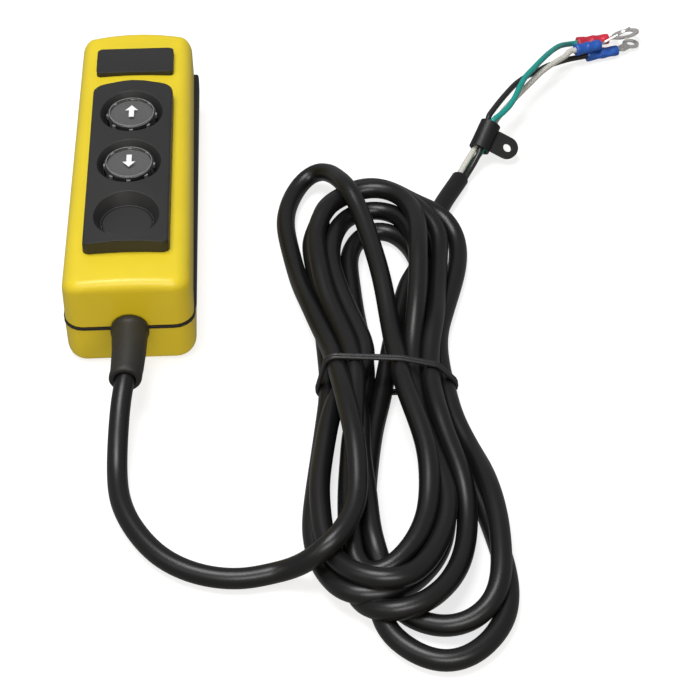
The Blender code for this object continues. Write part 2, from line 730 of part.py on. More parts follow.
def cord_clamp():
    half_x, half_y = CLAMP_HALF
    saddle = box((GLAND_X - half_x, CLAMP_Y - half_y, PARTING_Z + 0.5 * MM),
                 (GLAND_X + half_x, CLAMP_Y + half_y, 26 * MM))
    saddle = cut(saddle, cable_channel())
    for x in clamp_screw_spots():
        saddle = cut(saddle, cylinder(1.5 * MM, 10 * MM, 30 * MM, (x, CLAMP_Y), 12))
    part(saddle, "cord_clamp", black_plastic())
    for number, x in enumerate(clamp_screw_spots(), 1):
        screw = turned([(0, 28.3 * MM), (2.1 * MM, 28.3 * MM), (2.4 * MM, 27.9 * MM),
                        (2.4 * MM, 26.3 * MM), (1.2 * MM, 26.3 * MM), (1.2 * MM, 9 * MM),
                        (0, 9 * MM)], (x, CLAMP_Y), 12)
        part(screw, "clamp_screw_%d" % number, bright_steel())


def strain_relief_boot():
    """Tapered rubber boot, held by its groove in the end wall; its bore opens out at the tip."""
    wall_in, wall_out = -HALF_LENGTH + WALL + GAP, -HALF_LENGTH - GAP
    neck, tip = GLAND_HOLE - GAP, BOOT_TIP_Y
    profile = [(BORE_RADIUS, -83 * MM), (9 * MM, -83 * MM), (9 * MM, wall_in), (neck, wall_in),
               (neck, wall_out), (8.6 * MM, wall_out), (8.6 * MM, wall_out - 2.6 * MM),
               (8 * MM, wall_out - 3.4 * MM), (7.2 * MM, tip + 3 * MM), (6.9 * MM, tip + 1.2 * MM),
               (6.3 * MM, tip), (6.05 * MM, tip), (5.8 * MM, tip + 6 * MM),
               (BORE_RADIUS, tip + 15 * MM)]
    boot = turned(profile, steps=22, closed=True)
    laid_down = Matrix.Rotation(-math.pi / 2, 4, "X")
    boot.data.transform(Matrix.Translation((GLAND_X, 0, PARTING_Z)) @ laid_down)
    part(boot, "strain_relief_boot", soft_rubber())


def inner_cable():
    """Cable from inside the boot to the cut end of its jacket, past the clamp."""
    ends = [LEAD_ROUTE[0][1] * MM + GAP, -85 * MM, -69 * MM]
    route = smooth_route([(GLAND_X, y, PARTING_Z) for y in ends], 12 * MM)
    part(tube(route, CABLE_RADIUS), "inlet_cable", cable_jacket())


def inner_wires():
    """Cores from the jacket to the contact blocks, and the link between the blocks."""
    paints = core_paints()
    for colour, points in INNER_ROUTES.items():
        wire = tube(smooth_route(in_metres(points), 5 * MM), CORE_RADIUS, resolution=1)
        part(wire, "inner_wire_" + colour, paints[colour])
    link_wire = tube(smooth_route(in_metres(LINK_ROUTE), 4 * MM), CORE_RADIUS, resolution=1)
    part(link_wire, "link_wire", paints["green"])


# ---------------------------------------------------------------- free cable

def core_paints():
    return {
        "white": material("white_insulation", (0.75, 0.73, 0.68), 0.4),
        "green": material("green_insulation", (0.02, 0.42, 0.33), 0.4),
        "black": material("black_insulation", (0.03, 0.03, 0.032), 0.4),
    }


def lead_cord():
    route = smooth_route(in_metres(LEAD_ROUTE), 2.4 * CABLE_RADIUS)
    part(tube(route, CABLE_RADIUS), "lead_cord", cable_jacket())


def cord_hank():
    """Outer shape of the tied turns, with a channel under it for the tie."""
    outline = smooth_route([Vector((x, y, 0)) * MM for x, y in HANK_OUTLINE], 9 * MM, closed=True)
    hank = prism(outline, 0, HANK_TOP)
    channel_top = 2 * TIE_RADIUS + 2 * GAP
    channel = box((70 * MM, TIE_Y - 3 * MM, -MM), (150 * MM, TIE_Y + 3 * MM, channel_top))
    part(cut(hank, channel), "cord_hank", cable_jacket())


def bundle_tie():
    """Thin tie drawn round the waist of the hank."""
    low_x, high_x = 78.6 * MM, 136.6 * MM
    low_z, high_z = TIE_RADIUS + GAP / 2, HANK_TOP + TIE_RADIUS + GAP
    loop = rounded([(low_x, low_z, 4 * MM), (high_x, low_z, 4 * MM), (high_x, high_z, 4 * MM),
                    (low_x, high_z, 4 * MM)])
    points = [(x, TIE_Y, z) for x, z in loop]
    part(tube(points, TIE_RADIUS, closed=True), "bundle_tie", soft_rubber())


def cord_tail():
    route = smooth_route(in_metres(TAIL_ROUTE), 2.4 * CABLE_RADIUS)
    part(tube(route, CABLE_RADIUS), "cord_tail", cable_jacket())


def bundle_stations():
    """Middle line of the three cores from the jacket's end to just past the clip."""
    jacket_end = Vector(TAIL_ROUTE[-1]) * MM
    heading = (jacket_end - Vector(TAIL_ROUTE[-2]) * MM).normalized()
    reach = CLIP_LENGTH / 2 + MM
    knots = [jacket_end + heading * 3 * GAP, jacket_end + heading * 6 * MM,
             CLIP_CENTRE - CLIP_ALONG * reach, CLIP_CENTRE, CLIP_CENTRE + CLIP_ALONG * reach]
    return smooth_route(knots, 3 * MM)


def terminal_heading(colour):
    start = Vector(CORES[colour][1][-1])
    return (Vector(TERMINALS[colour][1]) - start).normalized()


def core_route(colour):
    """A core twists with its bundle up to the clip and ends in line with its own sleeve."""
    start_angle, beyond = CORES[colour]
    lead_in = Vector(beyond[-1]) - 3 * terminal_heading(colour)
    beyond = beyond[:-1] + [lead_in, beyond[-1]]
    axis = bundle_stations()
    points = []
    for i, spot in enumerate(axis):
        ahead = (axis[min(i + 1, len(axis) - 1)] - axis[max(i - 1, 0)]).normalized()
        right = ahead.cross(Vector((0, 0, 1))).normalized()
        up = right.cross(ahead)
        angle = start_angle + CORE_TWIST * i / (len(axis) - 1)
        points.append(spot + CORE_RING * (right * math.cos(angle) + up * math.sin(angle)))
    return smooth_route(points + in_metres(beyond), 3.6 * MM)


def cores():
    paints = core_paints()
    for colour in CORES:
        core = tube(core_route(colour), CORE_RADIUS, resolution=1)
        part(core, "core_" + colour, paints[colour])


def across_bar(radius, length, reach, sides):
    """A round bar through the clip's tab, square to it."""
    bpy.ops.mesh.primitive_cylinder_add(vertices=sides, radius=radius, depth=length)
    bar = bpy.context.object
    bar.data.transform(Matrix.Translation((reach, 0, 0)) @ Matrix.Rotation(math.pi / 2, 4, "X"))
    return bar


def p_clip():
    """Strap clip round the cores, its two ends together in a round tab with a hole."""
    half = CLIP_LENGTH / 2
    clip = cylinder(CLIP_BORE + CLIP_BAND, -half, half, sides=28)
    tab = box((0, -CLIP_BAND, -CLIP_TAB), (CLIP_REACH, CLIP_BAND, CLIP_TAB))
    tip = across_bar(CLIP_TAB, 2 * CLIP_BAND, CLIP_REACH, 28)
    clip = combine(combine(clip, tab, "UNION"), tip, "UNION")
    clip = cut(clip, cylinder(CLIP_BORE, -2 * half, 2 * half, sides=28),
               across_bar(CLIP_HOLE, 10 * CLIP_BAND, CLIP_REACH, 20))
    clip.data.transform(frame_from(CLIP_CENTRE, CLIP_ALONG, CLIP_OUT))
    part(clip, "p_clip", black_plastic())


def ring_tongue(name, radius, end, heading, ring, normal, outer, stud):
    """Flat tongue from the sleeve to its ring, with the stud hole through it."""
    base = end + heading * 2.5 * GAP
    reach = (ring - base).length
    half = min(radius, outer * 0.55)
    root = 0.9 * MM
    thick = TONGUE_THICK / 2
    outline = rounded([(0, -root, 0), (2 * root, -half, 0), (reach, -half, 0), (reach, half, 0),
                       (2 * root, half, 0), (0, root, 0)])
    tongue = prism(outline, -thick, thick)
    tongue = combine(tongue, cylinder(outer, -thick, thick, (reach, 0), 28), "UNION")
    tongue = cut(tongue, cylinder(stud, -MM, MM, (reach, 0), 24))
    x_axis = (ring - base).normalized()
    z_axis = (normal - x_axis * x_axis.dot(normal)).normalized()
    turn = Matrix((x_axis, z_axis.cross(x_axis), z_axis)).transposed().to_4x4()
    tongue.data.transform(Matrix.Translation(base) @ turn)
    part(tongue, name, tinned_copper())


def ring_terminals():
    """A crimped sleeve and a ring tongue on the end of each core."""
    sleeves = {
        "green": material("red_sleeve", (0.72, 0.05, 0.08), 0.4),
        "white": material("blue_sleeve", (0.03, 0.14, 0.62), 0.4),
        "black": material("blue_sleeve", (0.03, 0.14, 0.62), 0.4),
    }
    for colour, (radius, end, ring, normal, outer, stud) in TERMINALS.items():
        start = Vector(CORES[colour][1][-1]) * MM
        end = Vector(end) * MM
        heading = terminal_heading(colour)
        sleeve = tube([start + heading * 2 * GAP, (start + end) / 2, end], radius * MM)
        part(sleeve, "terminal_sleeve_" + colour, sleeves[colour])
        ring_tongue("ring_tongue_" + colour, radius * MM, end, heading, Vector(ring) * MM,
                    Vector(normal), outer * MM, stud * MM)


# ---------------------------------------------------------------- assembly

def shade_parts():
    """Smooth shading with crisp edges on every meshed piece."""
    for obj in PARTS.objects:
        if obj.type == "MESH":
            obj.data.shade_smooth()
            obj.data.set_sharp_from_angle(angle=math.radians(35))


def main():
    global PARTS, CUTTERS
    clear_scene()
    PARTS = new_collection("pendant_control_station")
    CUTTERS = new_collection("cutters")
    front_housing()
    rear_housing()
    housing_gasket()
    side_grip(-1, "side_grip_left")
    side_grip(1, "side_grip_right")
    housing_screws()
    control_panel()
    name_plate()
    blanking_plug()
    push_button(UP_Y, "up")
    push_button(DOWN_Y, "down")
    contact_carrier()
    cord_clamp()
    strain_relief_boot()
    inner_cable()
    inner_wires()
    lead_cord()
    cord_hank()
    bundle_tie()
    cord_tail()
    cores()
    p_clip()
    ring_terminals()
    shade_parts()


main()
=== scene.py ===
"""Looks of the pendant control station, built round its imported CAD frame.

Everything is in metres in the row frame: the origin is at the middle of the flat rear face,
+Z points out of the front and +Y towards the end without the cable.
"""

import json
import math

import bmesh
import bpy
import numpy as np
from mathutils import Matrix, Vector


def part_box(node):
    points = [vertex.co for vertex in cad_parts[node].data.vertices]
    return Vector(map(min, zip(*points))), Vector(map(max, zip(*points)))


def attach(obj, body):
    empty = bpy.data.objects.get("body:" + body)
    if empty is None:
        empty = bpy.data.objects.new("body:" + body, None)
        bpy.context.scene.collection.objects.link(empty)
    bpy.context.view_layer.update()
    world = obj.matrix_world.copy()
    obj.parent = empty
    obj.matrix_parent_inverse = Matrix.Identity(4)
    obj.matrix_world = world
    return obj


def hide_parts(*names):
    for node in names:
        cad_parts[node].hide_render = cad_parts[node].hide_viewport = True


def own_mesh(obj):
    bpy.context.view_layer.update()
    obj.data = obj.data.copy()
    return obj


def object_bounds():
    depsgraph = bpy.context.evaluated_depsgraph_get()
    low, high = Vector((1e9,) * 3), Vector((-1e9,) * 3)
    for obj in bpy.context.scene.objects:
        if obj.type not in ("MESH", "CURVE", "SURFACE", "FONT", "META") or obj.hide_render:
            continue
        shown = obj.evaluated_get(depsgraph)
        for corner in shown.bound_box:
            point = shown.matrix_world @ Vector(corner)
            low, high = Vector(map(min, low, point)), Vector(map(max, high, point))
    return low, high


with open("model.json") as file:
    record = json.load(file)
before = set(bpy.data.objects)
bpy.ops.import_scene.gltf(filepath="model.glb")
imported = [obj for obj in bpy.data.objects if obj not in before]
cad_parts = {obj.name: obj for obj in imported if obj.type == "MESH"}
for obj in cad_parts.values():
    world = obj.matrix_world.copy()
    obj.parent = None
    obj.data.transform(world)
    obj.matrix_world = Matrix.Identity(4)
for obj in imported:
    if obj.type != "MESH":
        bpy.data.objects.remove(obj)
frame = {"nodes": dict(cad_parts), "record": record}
CAD_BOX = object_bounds()
NODES = frame["nodes"]
SLOTS = {row["node"]: row["material_slot"] for row in frame["record"]["subparts"]}

MM = 0.001
UP = Vector((0, 0, 1))
CABLE_RADIUS = 4.2 * MM
CORE_RADIUS = 1.4 * MM
FLOOR_Z = 0.0
BOOT_TIP = Vector((0.4, -119.5, 19.35)) * MM

# Route of the lead from the strain relief to the hank, in millimetres
LEAD_ROUTE = [
    (0.4, -100.3, 19.35), (0.4, -106, 19.35), (0.1, -112, 19.2), (-0.7, -118.5, 18.8),
    (-1.6, -124.5, 17.7), (-2.4, -131, 15.6), (-3.1, -138.5, 12.2), (-3.6, -146.5, 8.5),
    (-3.7, -155, 5.6), (-3.2, -163.5, 4.4), (-1.8, -172, 4.3), (1.4, -181.5, 4.3),
    (6.5, -191, 4.3), (13, -199.6, 4.3), (21, -206.3, 4.3), (31, -211.2, 4.3),
    (42, -213.7, 4.5), (52, -214, 5.4), (61, -213.2, 7.2),
]
# From there over the bottom loops and up to the tie, on top of the hank
HANK_RISE = [
    (68.5, -214.5, 12), (74.5, -214, 17), (81.5, -210, 20), (87, -201.5, 21), (91, -189.5, 21),
    (92, -175, 21), (92, -159, 21), (90.5, -142, 20.5), (89, -126, 19),
]
# Turns of the hank: each goes up its left side, over the far end, down its right side and
# round the near end, in millimetres
HANK_TURNS = [
    [(87, -111, 17), (78, -71, 10), (71, -37, 5), (68, -5, 5), (71, 6, 6), (76, 15, 9),
     (82, 19, 12), (88, 14, 15), (98, -10, 21), (102, -27, 23), (108, -66, 24), (111, -99, 20),
     (114, -125, 19), (121, -169, 18), (117, -199, 16), (109, -211, 14), (99, -216, 9)],
    [(93, -216, 8), (90, -211, 9), (90, -192, 11), (92, -162, 12), (93, -104, 13), (84, -63, 14),
     (84, -17, 15), (97, -5, 19), (116, -6, 20), (125, -22, 20), (125, -52, 20), (119, -123, 12),
     (126, -193, 13), (109, -222, 13), (90, -220, 13), (79, -205, 13), (78, -193, 13)],
    [(77, -180, 12), (85.5, -130, 11), (98.5, -106, 12), (93, -73, 11), (89, -57, 11), (88, -30, 11),
     (99, -11, 11), (116, -11, 11), (125, -30, 11), (123, -96, 4.5), (124, -124, 4.5),
     (127, -184, 4.5), (119, -210, 4.5), (100, -224, 5), (85, -220, 5), (75, -201, 5),
     (75, -180, 5)],
    [(77, -164, 4.5), (83.5, -114, 4.5), (83.5, -88, 4.5), (80.5, -24, 4.5), (88, 2, 4.5),
     (96, 11, 4.5), (110, 16, 4.5), (117, 12, 4.5), (130, 0, 5), (143, -17, 4.5),
     (144, -38, 4.5), (131, -92, 4.5), (135, -137, 4.5), (146, -192, 10), (140, -235, 11),
     (123, -245, 10), (107, -233, 6)],
    [(102, -225, 4.5), (96, -196, 9), (94.5, -166, 12), (95, -131, 8), (91.5, -101, 4.5),
     (90.5, -87, 4.5), (88.5, -41, 6), (84, -10, 10), (109, 7, 12), (134, -20, 12), (133, -58, 12),
     (125, -110, 12), (127, -138, 12), (135, -185, 12), (128, -220, 12), (113, -233, 10),
     (99, -230, 5)],
    [(92, -225, 4.5), (89, -217, 4.5), (89, -192, 4.5), (92, -144, 4.5), (98.5, -102, 4.5),
     (94.5, -58, 5), (96.5, -33, 8), (109, -19, 8), (123, -30, 8), (126, -49, 4.5),
     (118, -105, 4.5), (142, -180, 4.5), (147, -226, 4.5), (139, -246, 4.5), (122, -256, 4.5),
     (111, -251, 4.5), (102, -242, 4.5)],
]
# The last run, under the others, up to the free end
HANK_LEAVE = [
    (99, -231, 4.5), (95, -175, 4.5), (106, -115, 4.5), (113, -89, 4.5), (119, -64, 4.5),
    (125, -44, 4.5), (130, -26, 4.5), (135, -12, 4.5),
]
# Free end of the cable, from the hank to the cut end of its jacket, in millimetres
TAIL_ROUTE = [(140.6, 2.4, 4.3), (143.4, 7, 4.3), (146.8, 13, 4.3), (150.2, 19.8, 4.3)]

# Clip on the cores
CLIP_CENTRE = Vector((163.8, 41.8, 11.6)) * MM
CLIP_ALONG = Vector((0.45, 0.76, 0.47)).normalized()
CLIP_LENGTH = 14 * MM
CORE_RING = 1.95 * MM
CORE_TWIST = math.radians(190)

# Cores beyond the clip, in millimetres, and their angle where they leave the jacket
CORES = {
    "white": (math.radians(110), [(171, 53.5, 13.1), (176.5, 62, 13.3), (183, 70.5, 14),
              (189.3, 78.6, 14.3), (196.5, 89, 13.4), (204.3, 98.6, 11.7), (210.6, 106, 9.9),
              (216.4, 111.7, 9.1)]),
    "green": (math.radians(230), [(172.8, 51.4, 17.8), (176.9, 56.4, 18.5),
              (179.9, 61.7, 19.2), (183, 69.2, 19.6), (186.6, 76.8, 19.6), (191.4, 84.4, 18.9),
              (197.2, 94.4, 17), (203.4, 106.2, 13), (209.8, 117.6, 7.8), (219.5, 126, 3)]),
    "black": (math.radians(350), [(166.4, 51.2, 16.3), (168.9, 55.4, 16.8), (172.6, 61.4, 17),
              (176.9, 68.6, 16.5), (182.4, 77.6, 15.2), (188.1, 84.9, 13.6), (194, 91.3, 11.6),
              (200, 98.9, 9), (206, 105.4, 6.2), (213.4, 111.2, 3.9), (222.8, 114.7, 3.1)]),
}
SLEEVE_ENDS = {"green": (235.8, 128.9, 3), "white": (229.4, 116.8, 8.4),
               "black": (239.1, 118.6, 3.2)}
SLEEVE_RADIUS = 2.85 * MM

BUTTONS = ("up", "down")


# ---------------------------------------------------------------- materials

NOISE_ROUGHNESS = 0.55
CLOUD_DETAIL = 4
CLOUD_SPAN = (0.3, 0.7)             # where the noise goes from the darker to the lighter colour
EDGE_SAMPLES = 6


class Paint:
    """A Principled material and short ways to wire its colour, roughness, edges and grain."""

    def __init__(self, name, colour, roughness, **sockets):
        self.material = bpy.data.materials.new(name)
        self.material.use_nodes = True
        self.nodes = self.material.node_tree.nodes
        self.links = self.material.node_tree.links
        self.shader = self.nodes["Principled BSDF"]
        self.shader.inputs["Base Color"].default_value = (*colour, 1)
        self.shader.inputs["Roughness"].default_value = roughness
        for socket, value in sockets.items():
            self.shader.inputs[socket.replace("_", " ")].default_value = value
        self.material.diffuse_color = (*colour, 1)
        self.colour = colour
        self.roughness = roughness
        self.place = self.nodes.new("ShaderNodeTexCoord").outputs["Object"]
        self.surface = None

    def noise(self, scale, detail, stretch=None):
        node = self.nodes.new("ShaderNodeTexNoise")
        node.inputs["Scale"].default_value = scale
        node.inputs["Detail"].default_value = detail
        node.inputs["Roughness"].default_value = NOISE_ROUGHNESS
        place = self.place
        if stretch:
            mapping = self.nodes.new("ShaderNodeMapping")
            mapping.inputs["Scale"].default_value = stretch
            self.links.new(place, mapping.inputs["Vector"])
            place = mapping.outputs["Vector"]
        self.links.new(place, node.inputs["Vector"])
        return node.outputs["Fac"]

    def vary_colour(self, scale, amount):
        """Cloudy patches, darker and lighter than the colour by this share."""
        low = [c * (1 - amount) for c in self.colour]
        high = [min(1, c * (1 + amount)) for c in self.colour]
        ramp = self.nodes.new("ShaderNodeValToRGB")
        for stop, at, colour in zip(ramp.color_ramp.elements, CLOUD_SPAN, (low, high)):
            stop.position = at
            stop.color = (*colour, 1)
        self.links.new(self.noise(scale, CLOUD_DETAIL), ramp.inputs["Fac"])
        self.links.new(ramp.outputs["Color"], self.shader.inputs["Base Color"])
        return self

    def vary_roughness(self, scale, amount, stretch=None):
        """Patches that are smoother and rougher than the rest by this amount."""
        spread = self.nodes.new("ShaderNodeMapRange")
        spread.inputs["To Min"].default_value = max(0, self.roughness - amount)
        spread.inputs["To Max"].default_value = min(1, self.roughness + amount)
        self.links.new(self.noise(scale, CLOUD_DETAIL, stretch), spread.inputs["Value"])
        self.links.new(spread.outputs["Result"], self.shader.inputs["Roughness"])
        return self

    def soft_edges(self, radius):
        """Edges catch the light as if they were rounded by this radius."""
        node = self.nodes.new("ShaderNodeBevel")
        node.samples = EDGE_SAMPLES
        node.inputs["Radius"].default_value = radius
        self.surface = node.outputs["Normal"]
        self.links.new(self.surface, self.shader.inputs["Normal"])
        return self

    def grain(self, scale, distance, detail=2.0, stretch=None):
        """Bumps up to a distance high, on top of the bumps that are there."""
        node = self.nodes.new("ShaderNodeBump")
        node.inputs["Strength"].default_value = 1
        node.inputs["Distance"].default_value = distance
        self.links.new(self.noise(scale, detail, stretch), node.inputs["Height"])
        if self.surface:
            self.links.new(self.surface, node.inputs["Normal"])
        self.surface = node.outputs["Normal"]
        self.links.new(self.surface, self.shader.inputs["Normal"])
        return self


def yellow_plastic():
    paint = Paint("yellow_plastic", (0.86, 0.665, 0.024), 0.38, Specular_IOR_Level=0.5)
    paint.vary_colour(24, 0.035).vary_roughness(60, 0.05).soft_edges(0.5 * MM)
    paint.grain(40, 0.12 * MM, 1)
    return paint.grain(1500, 0.012 * MM).material


def panel_plastic():
    paint = Paint("black_panel_plastic", (0.0215, 0.0208, 0.0212), 0.50, Specular_IOR_Level=0.45)
    paint.vary_colour(35, 0.10).vary_roughness(90, 0.05).soft_edges(0.45 * MM)
    return paint.grain(1800, 0.03 * MM).material


def trim_rubber():
    paint = Paint("trim_rubber", (0.018, 0.018, 0.0175), 0.62, Specular_IOR_Level=0.4)
    paint.vary_colour(30, 0.12).vary_roughness(80, 0.06).soft_edges(0.4 * MM)
    return paint.grain(1400, 0.03 * MM).material


def boot_rubber():
    paint = Paint("boot_rubber", (0.019, 0.018, 0.017), 0.55, Specular_IOR_Level=0.45)
    paint.vary_colour(60, 0.12).vary_roughness(120, 0.08)
    return paint.grain(900, 0.03 * MM).material


def seal_rubber():
    paint = Paint("seal_rubber", (0.03, 0.03, 0.03), 0.7)
    return paint.vary_colour(40, 0.1).vary_roughness(80, 0.06).grain(900, 0.03 * MM).material


def jacket_vinyl():
    paint = Paint("jacket_vinyl", (0.0075, 0.0075, 0.0080), 0.34, Specular_IOR_Level=0.42)
    paint.vary_colour(12, 0.15).vary_roughness(45, 0.06)
    paint.grain(34, 0.10 * MM, 2)
    return paint.grain(900, 0.010 * MM).material


def core_vinyl(name, colour):
    paint = Paint(name, colour, 0.34)
    return paint.vary_colour(30, 0.05).vary_roughness(80, 0.05).grain(120, 0.03 * MM).material


def tie_wire():
    paint = Paint("tie_wire", (0.018, 0.018, 0.019), 0.42)
    return paint.vary_roughness(150, 0.08).grain(500, 0.03 * MM).material


def smoked_lens():
    paint = Paint("smoked_lens", (0.12, 0.12, 0.125), 0.16, Alpha=0.24, IOR=1.49)
    paint.vary_roughness(120, 0.04)
    return paint.grain(700, 0.004 * MM).material


# Light grey for the printed rings on the legend discs. It is also put on the clear lens's lugs and
# top ring as painted glints and a painted highlight line.
def print_and_glint_grey():
    paint = Paint("print_and_glint_grey", (0.36, 0.36, 0.37), 0.22)
    return paint.vary_roughness(150, 0.05).grain(600, 0.008 * MM).material


def legend_print():
    paint = Paint("legend_disc", (0.21, 0.21, 0.215), 0.45)
    return paint.vary_colour(60, 0.05).vary_roughness(90, 0.05).grain(900, 0.01 * MM).material


def arrow_print():
    paint = Paint("arrow_print", (0.93, 0.93, 0.94), 0.5)
    return paint.vary_roughness(200, 0.05).grain(1500, 0.005 * MM).material


def black_moulding():
    paint = Paint("black_moulding", (0.03, 0.03, 0.031), 0.5)
    return paint.vary_colour(50, 0.1).vary_roughness(90, 0.06).grain(1200, 0.02 * MM).material


def clip_nylon():
    paint = Paint("clip_nylon", (0.008, 0.008, 0.0085), 0.42, Specular_IOR_Level=0.35)
    paint.vary_roughness(90, 0.06).soft_edges(0.35 * MM)
    return paint.grain(800, 0.02 * MM).material


def cream_insulator():
    paint = Paint("cream_insulator", (0.60, 0.56, 0.46), 0.5)
    return paint.vary_colour(50, 0.05).vary_roughness(90, 0.06).grain(1200, 0.02 * MM).material


def metal(name, colour, roughness, scratch, metallic=1.0):
    """Bare metal with fine drawn lines and a slight tarnish."""
    paint = Paint(name, colour, roughness, Metallic=metallic)
    paint.vary_colour(90, 0.08).vary_roughness(220, 0.09, stretch=(1, 6, 1))
    paint.soft_edges(0.15 * MM)
    return paint.grain(700, scratch, stretch=(1, 8, 1)).material


def sleeve_vinyl(name, colour):
    paint = Paint(name, colour, 0.33, Specular_IOR_Level=0.5)
    return paint.vary_colour(80, 0.08).vary_roughness(90, 0.06).grain(500, 0.02 * MM).material


def make_paints():
    """A finished material for each of the record's material slots."""
    return {
        "yellow_housing": yellow_plastic(),
        "black_panel": panel_plastic(),
        "rubber_trim": trim_rubber(),
        "rubber_seal": seal_rubber(),
        "smoked_lens": smoked_lens(),
        "legend_disc": legend_print(),
        "black_inner_plastic": black_moulding(),
        "cream_insulator": cream_insulator(),
        "brass": metal("brass", (0.72, 0.53, 0.24), 0.3, 0.004 * MM),
        "steel": metal("steel", (0.56, 0.57, 0.58), 0.3, 0.004 * MM),
        "cable_jacket": jacket_vinyl(),
        "tie": tie_wire(),
        "white_insulation": core_vinyl("white_insulation", (0.71, 0.70, 0.65)),
        "green_insulation": core_vinyl("green_insulation", (0.01, 0.34, 0.30)),
        "black_insulation": core_vinyl("black_insulation", (0.02, 0.02, 0.02)),
        "nylon_clip": clip_nylon(),
        "red_sleeve": sleeve_vinyl("red_sleeve", (0.68, 0.025, 0.06)),
        "blue_sleeve": sleeve_vinyl("blue_sleeve", (0.02, 0.11, 0.52)),
        "tinned_copper": metal("tinned_copper", (0.78, 0.76, 0.74), 0.30, 0.003 * MM, 0.7),
    }


CAD_WELD = 0.002 * MM
CAD_CREASE = math.radians(33)


def paint_cad(paints):
    """Every node of the frame takes the material of its slot, with even, smooth shading."""
    for name, obj in NODES.items():
        obj.data.materials.clear()
        obj.data.materials.append(paints[SLOTS[name]])
        custom = obj.data.attributes.get("custom_normal")
        if custom:
            obj.data.attributes.remove(custom)
        obj.data.shade_smooth()
        weld = obj.modifiers.new("weld", "WELD")
        weld.merge_threshold = CAD_WELD
        split = obj.modifiers.new("crisp_edges", "EDGE_SPLIT")
        split.split_angle = CAD_CREASE
        normals = obj.modifiers.new("even_normals", "WEIGHTED_NORMAL")
        normals.keep_sharp = True


# ---------------------------------------------------------------- mesh helpers

def add_object(name, data, paint=None):
    obj = bpy.data.objects.new(name, data)
    bpy.context.scene.collection.objects.link(obj)
    if paint:
        obj.data.materials.append(paint)
    return obj


def add_mesh(name, points, faces, paint):
    mesh = bpy.data.meshes.new(name)
    mesh.from_pydata([tuple(p) for p in points], [], faces)
    mesh.validate()
    shape = bmesh.new()
    shape.from_mesh(mesh)
    bmesh.ops.recalc_face_normals(shape, faces=shape.faces)
    shape.to_mesh(mesh)
    shape.free()
    mesh.shade_smooth()
    return add_object(name, mesh, paint)


def loft(name, rings, paint, caps=True, closed=False):
    """Skin over rings that have the same number of points."""
    count = len(rings[0])
    points = [p for ring in rings for p in ring]
    faces = []
    spans = len(rings) if closed else len(rings) - 1
    for r in range(spans):
        a, b = r * count, (r + 1) % len(rings) * count
        for i in range(count):
            j = (i + 1) % count
            faces.append((a + i, a + j, b + j, b + i))
    if caps and not closed:
        faces.append(tuple(reversed(range(count))))
        faces.append(tuple(range((len(rings) - 1) * count, len(rings) * count)))
    return add_mesh(name, points, faces, paint)


def round_ring(centre, right, up, half_right, half_up, sides):
    ring = []
    for i in range(sides):
        angle = 2 * math.pi * i / sides
        ring.append(centre + right * half_right * math.cos(angle)
                    + up * half_up * math.sin(angle))
    return ring


def turned(name, profile, centre, along, paint, sides=64, closed=False):
    """A solid of revolution; the profile is (radius, distance along the axis) pairs."""
    along = along.normalized()
    right = along.orthogonal().normalized()
    up = along.cross(right)
    rings = [round_ring(centre + along * z, right, up, r, r, sides) for r, z in profile]
    return loft(name, rings, paint, closed=closed)


def middle_of(node):
    """Centre of a CAD node's box at rest."""
    low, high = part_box(node)
    return (low + high) / 2


def crisp(obj, angle=38):
    obj.data.set_sharp_from_angle(angle=math.radians(angle))
    return obj


def smooth_through(points, step):
    """Points about a step apart on a centripetal Catmull-Rom curve through given ones."""
    knots = np.array(points, float)
    knots = np.vstack([2 * knots[0] - knots[1], knots, 2 * knots[-1] - knots[-2]])
    fine = []
    for four in zip(knots, knots[1:], knots[2:], knots[3:]):
        times = [0.0]
        for p, q in zip(four, four[1:]):
            times.append(times[-1] + math.sqrt(float(np.linalg.norm(q - p))))
        count = max(2, round(float(np.linalg.norm(four[2] - four[1])) / (0.25 * step)))
        t = np.linspace(times[1], times[2], count, endpoint=False)[:, None]
        level = list(four)
        for reach in (1, 2):
            level = [((times[k + reach] - t) * level[k] + (t - times[k]) * level[k + 1])
                     / (times[k + reach] - times[k]) for k in range(4 - reach)]
        fine.append(((times[2] - t) * level[0] + (t - times[1]) * level[1])
                    / (times[2] - times[1]))
    fine = np.vstack(fine + [knots[-2:-1]])
    return even(fine, step)


def ironed(line, rounds):
    """Even out a line's bends without shrinking its loops."""
    line = line.copy()
    for _ in range(rounds):
        for share in (0.45, -0.47):
            line[1:-1] += share * (0.5 * (line[:-2] + line[2:]) - line[1:-1])
    return line


def even(line, step):
    """The same line with its points evenly spaced."""
    run = np.concatenate([[0], np.cumsum(np.linalg.norm(np.diff(line, axis=0), axis=1))])
    marks = np.linspace(0, run[-1], max(2, round(run[-1] / step) + 1))
    return np.stack([np.interp(marks, run, line[:, k]) for k in range(3)], axis=1)


def length_of(line):
    return float(np.linalg.norm(np.diff(line, axis=0), axis=1).sum())


def round_cord(name, line, radius, paint, resolution=5):
    """A round cord as one open curve."""
    curve = bpy.data.curves.new(name, "CURVE")
    curve.dimensions = "3D"
    curve.bevel_depth = radius
    curve.bevel_resolution = resolution
    curve.use_fill_caps = True
    spline = curve.splines.new("POLY")
    spline.points.add(len(line) - 1)
    for point, spot in zip(spline.points, line):
        point.co = (*spot, 1)
    spline.use_smooth = True
    return add_object(name, curve, paint)


# ---------------------------------------------------------------- cable

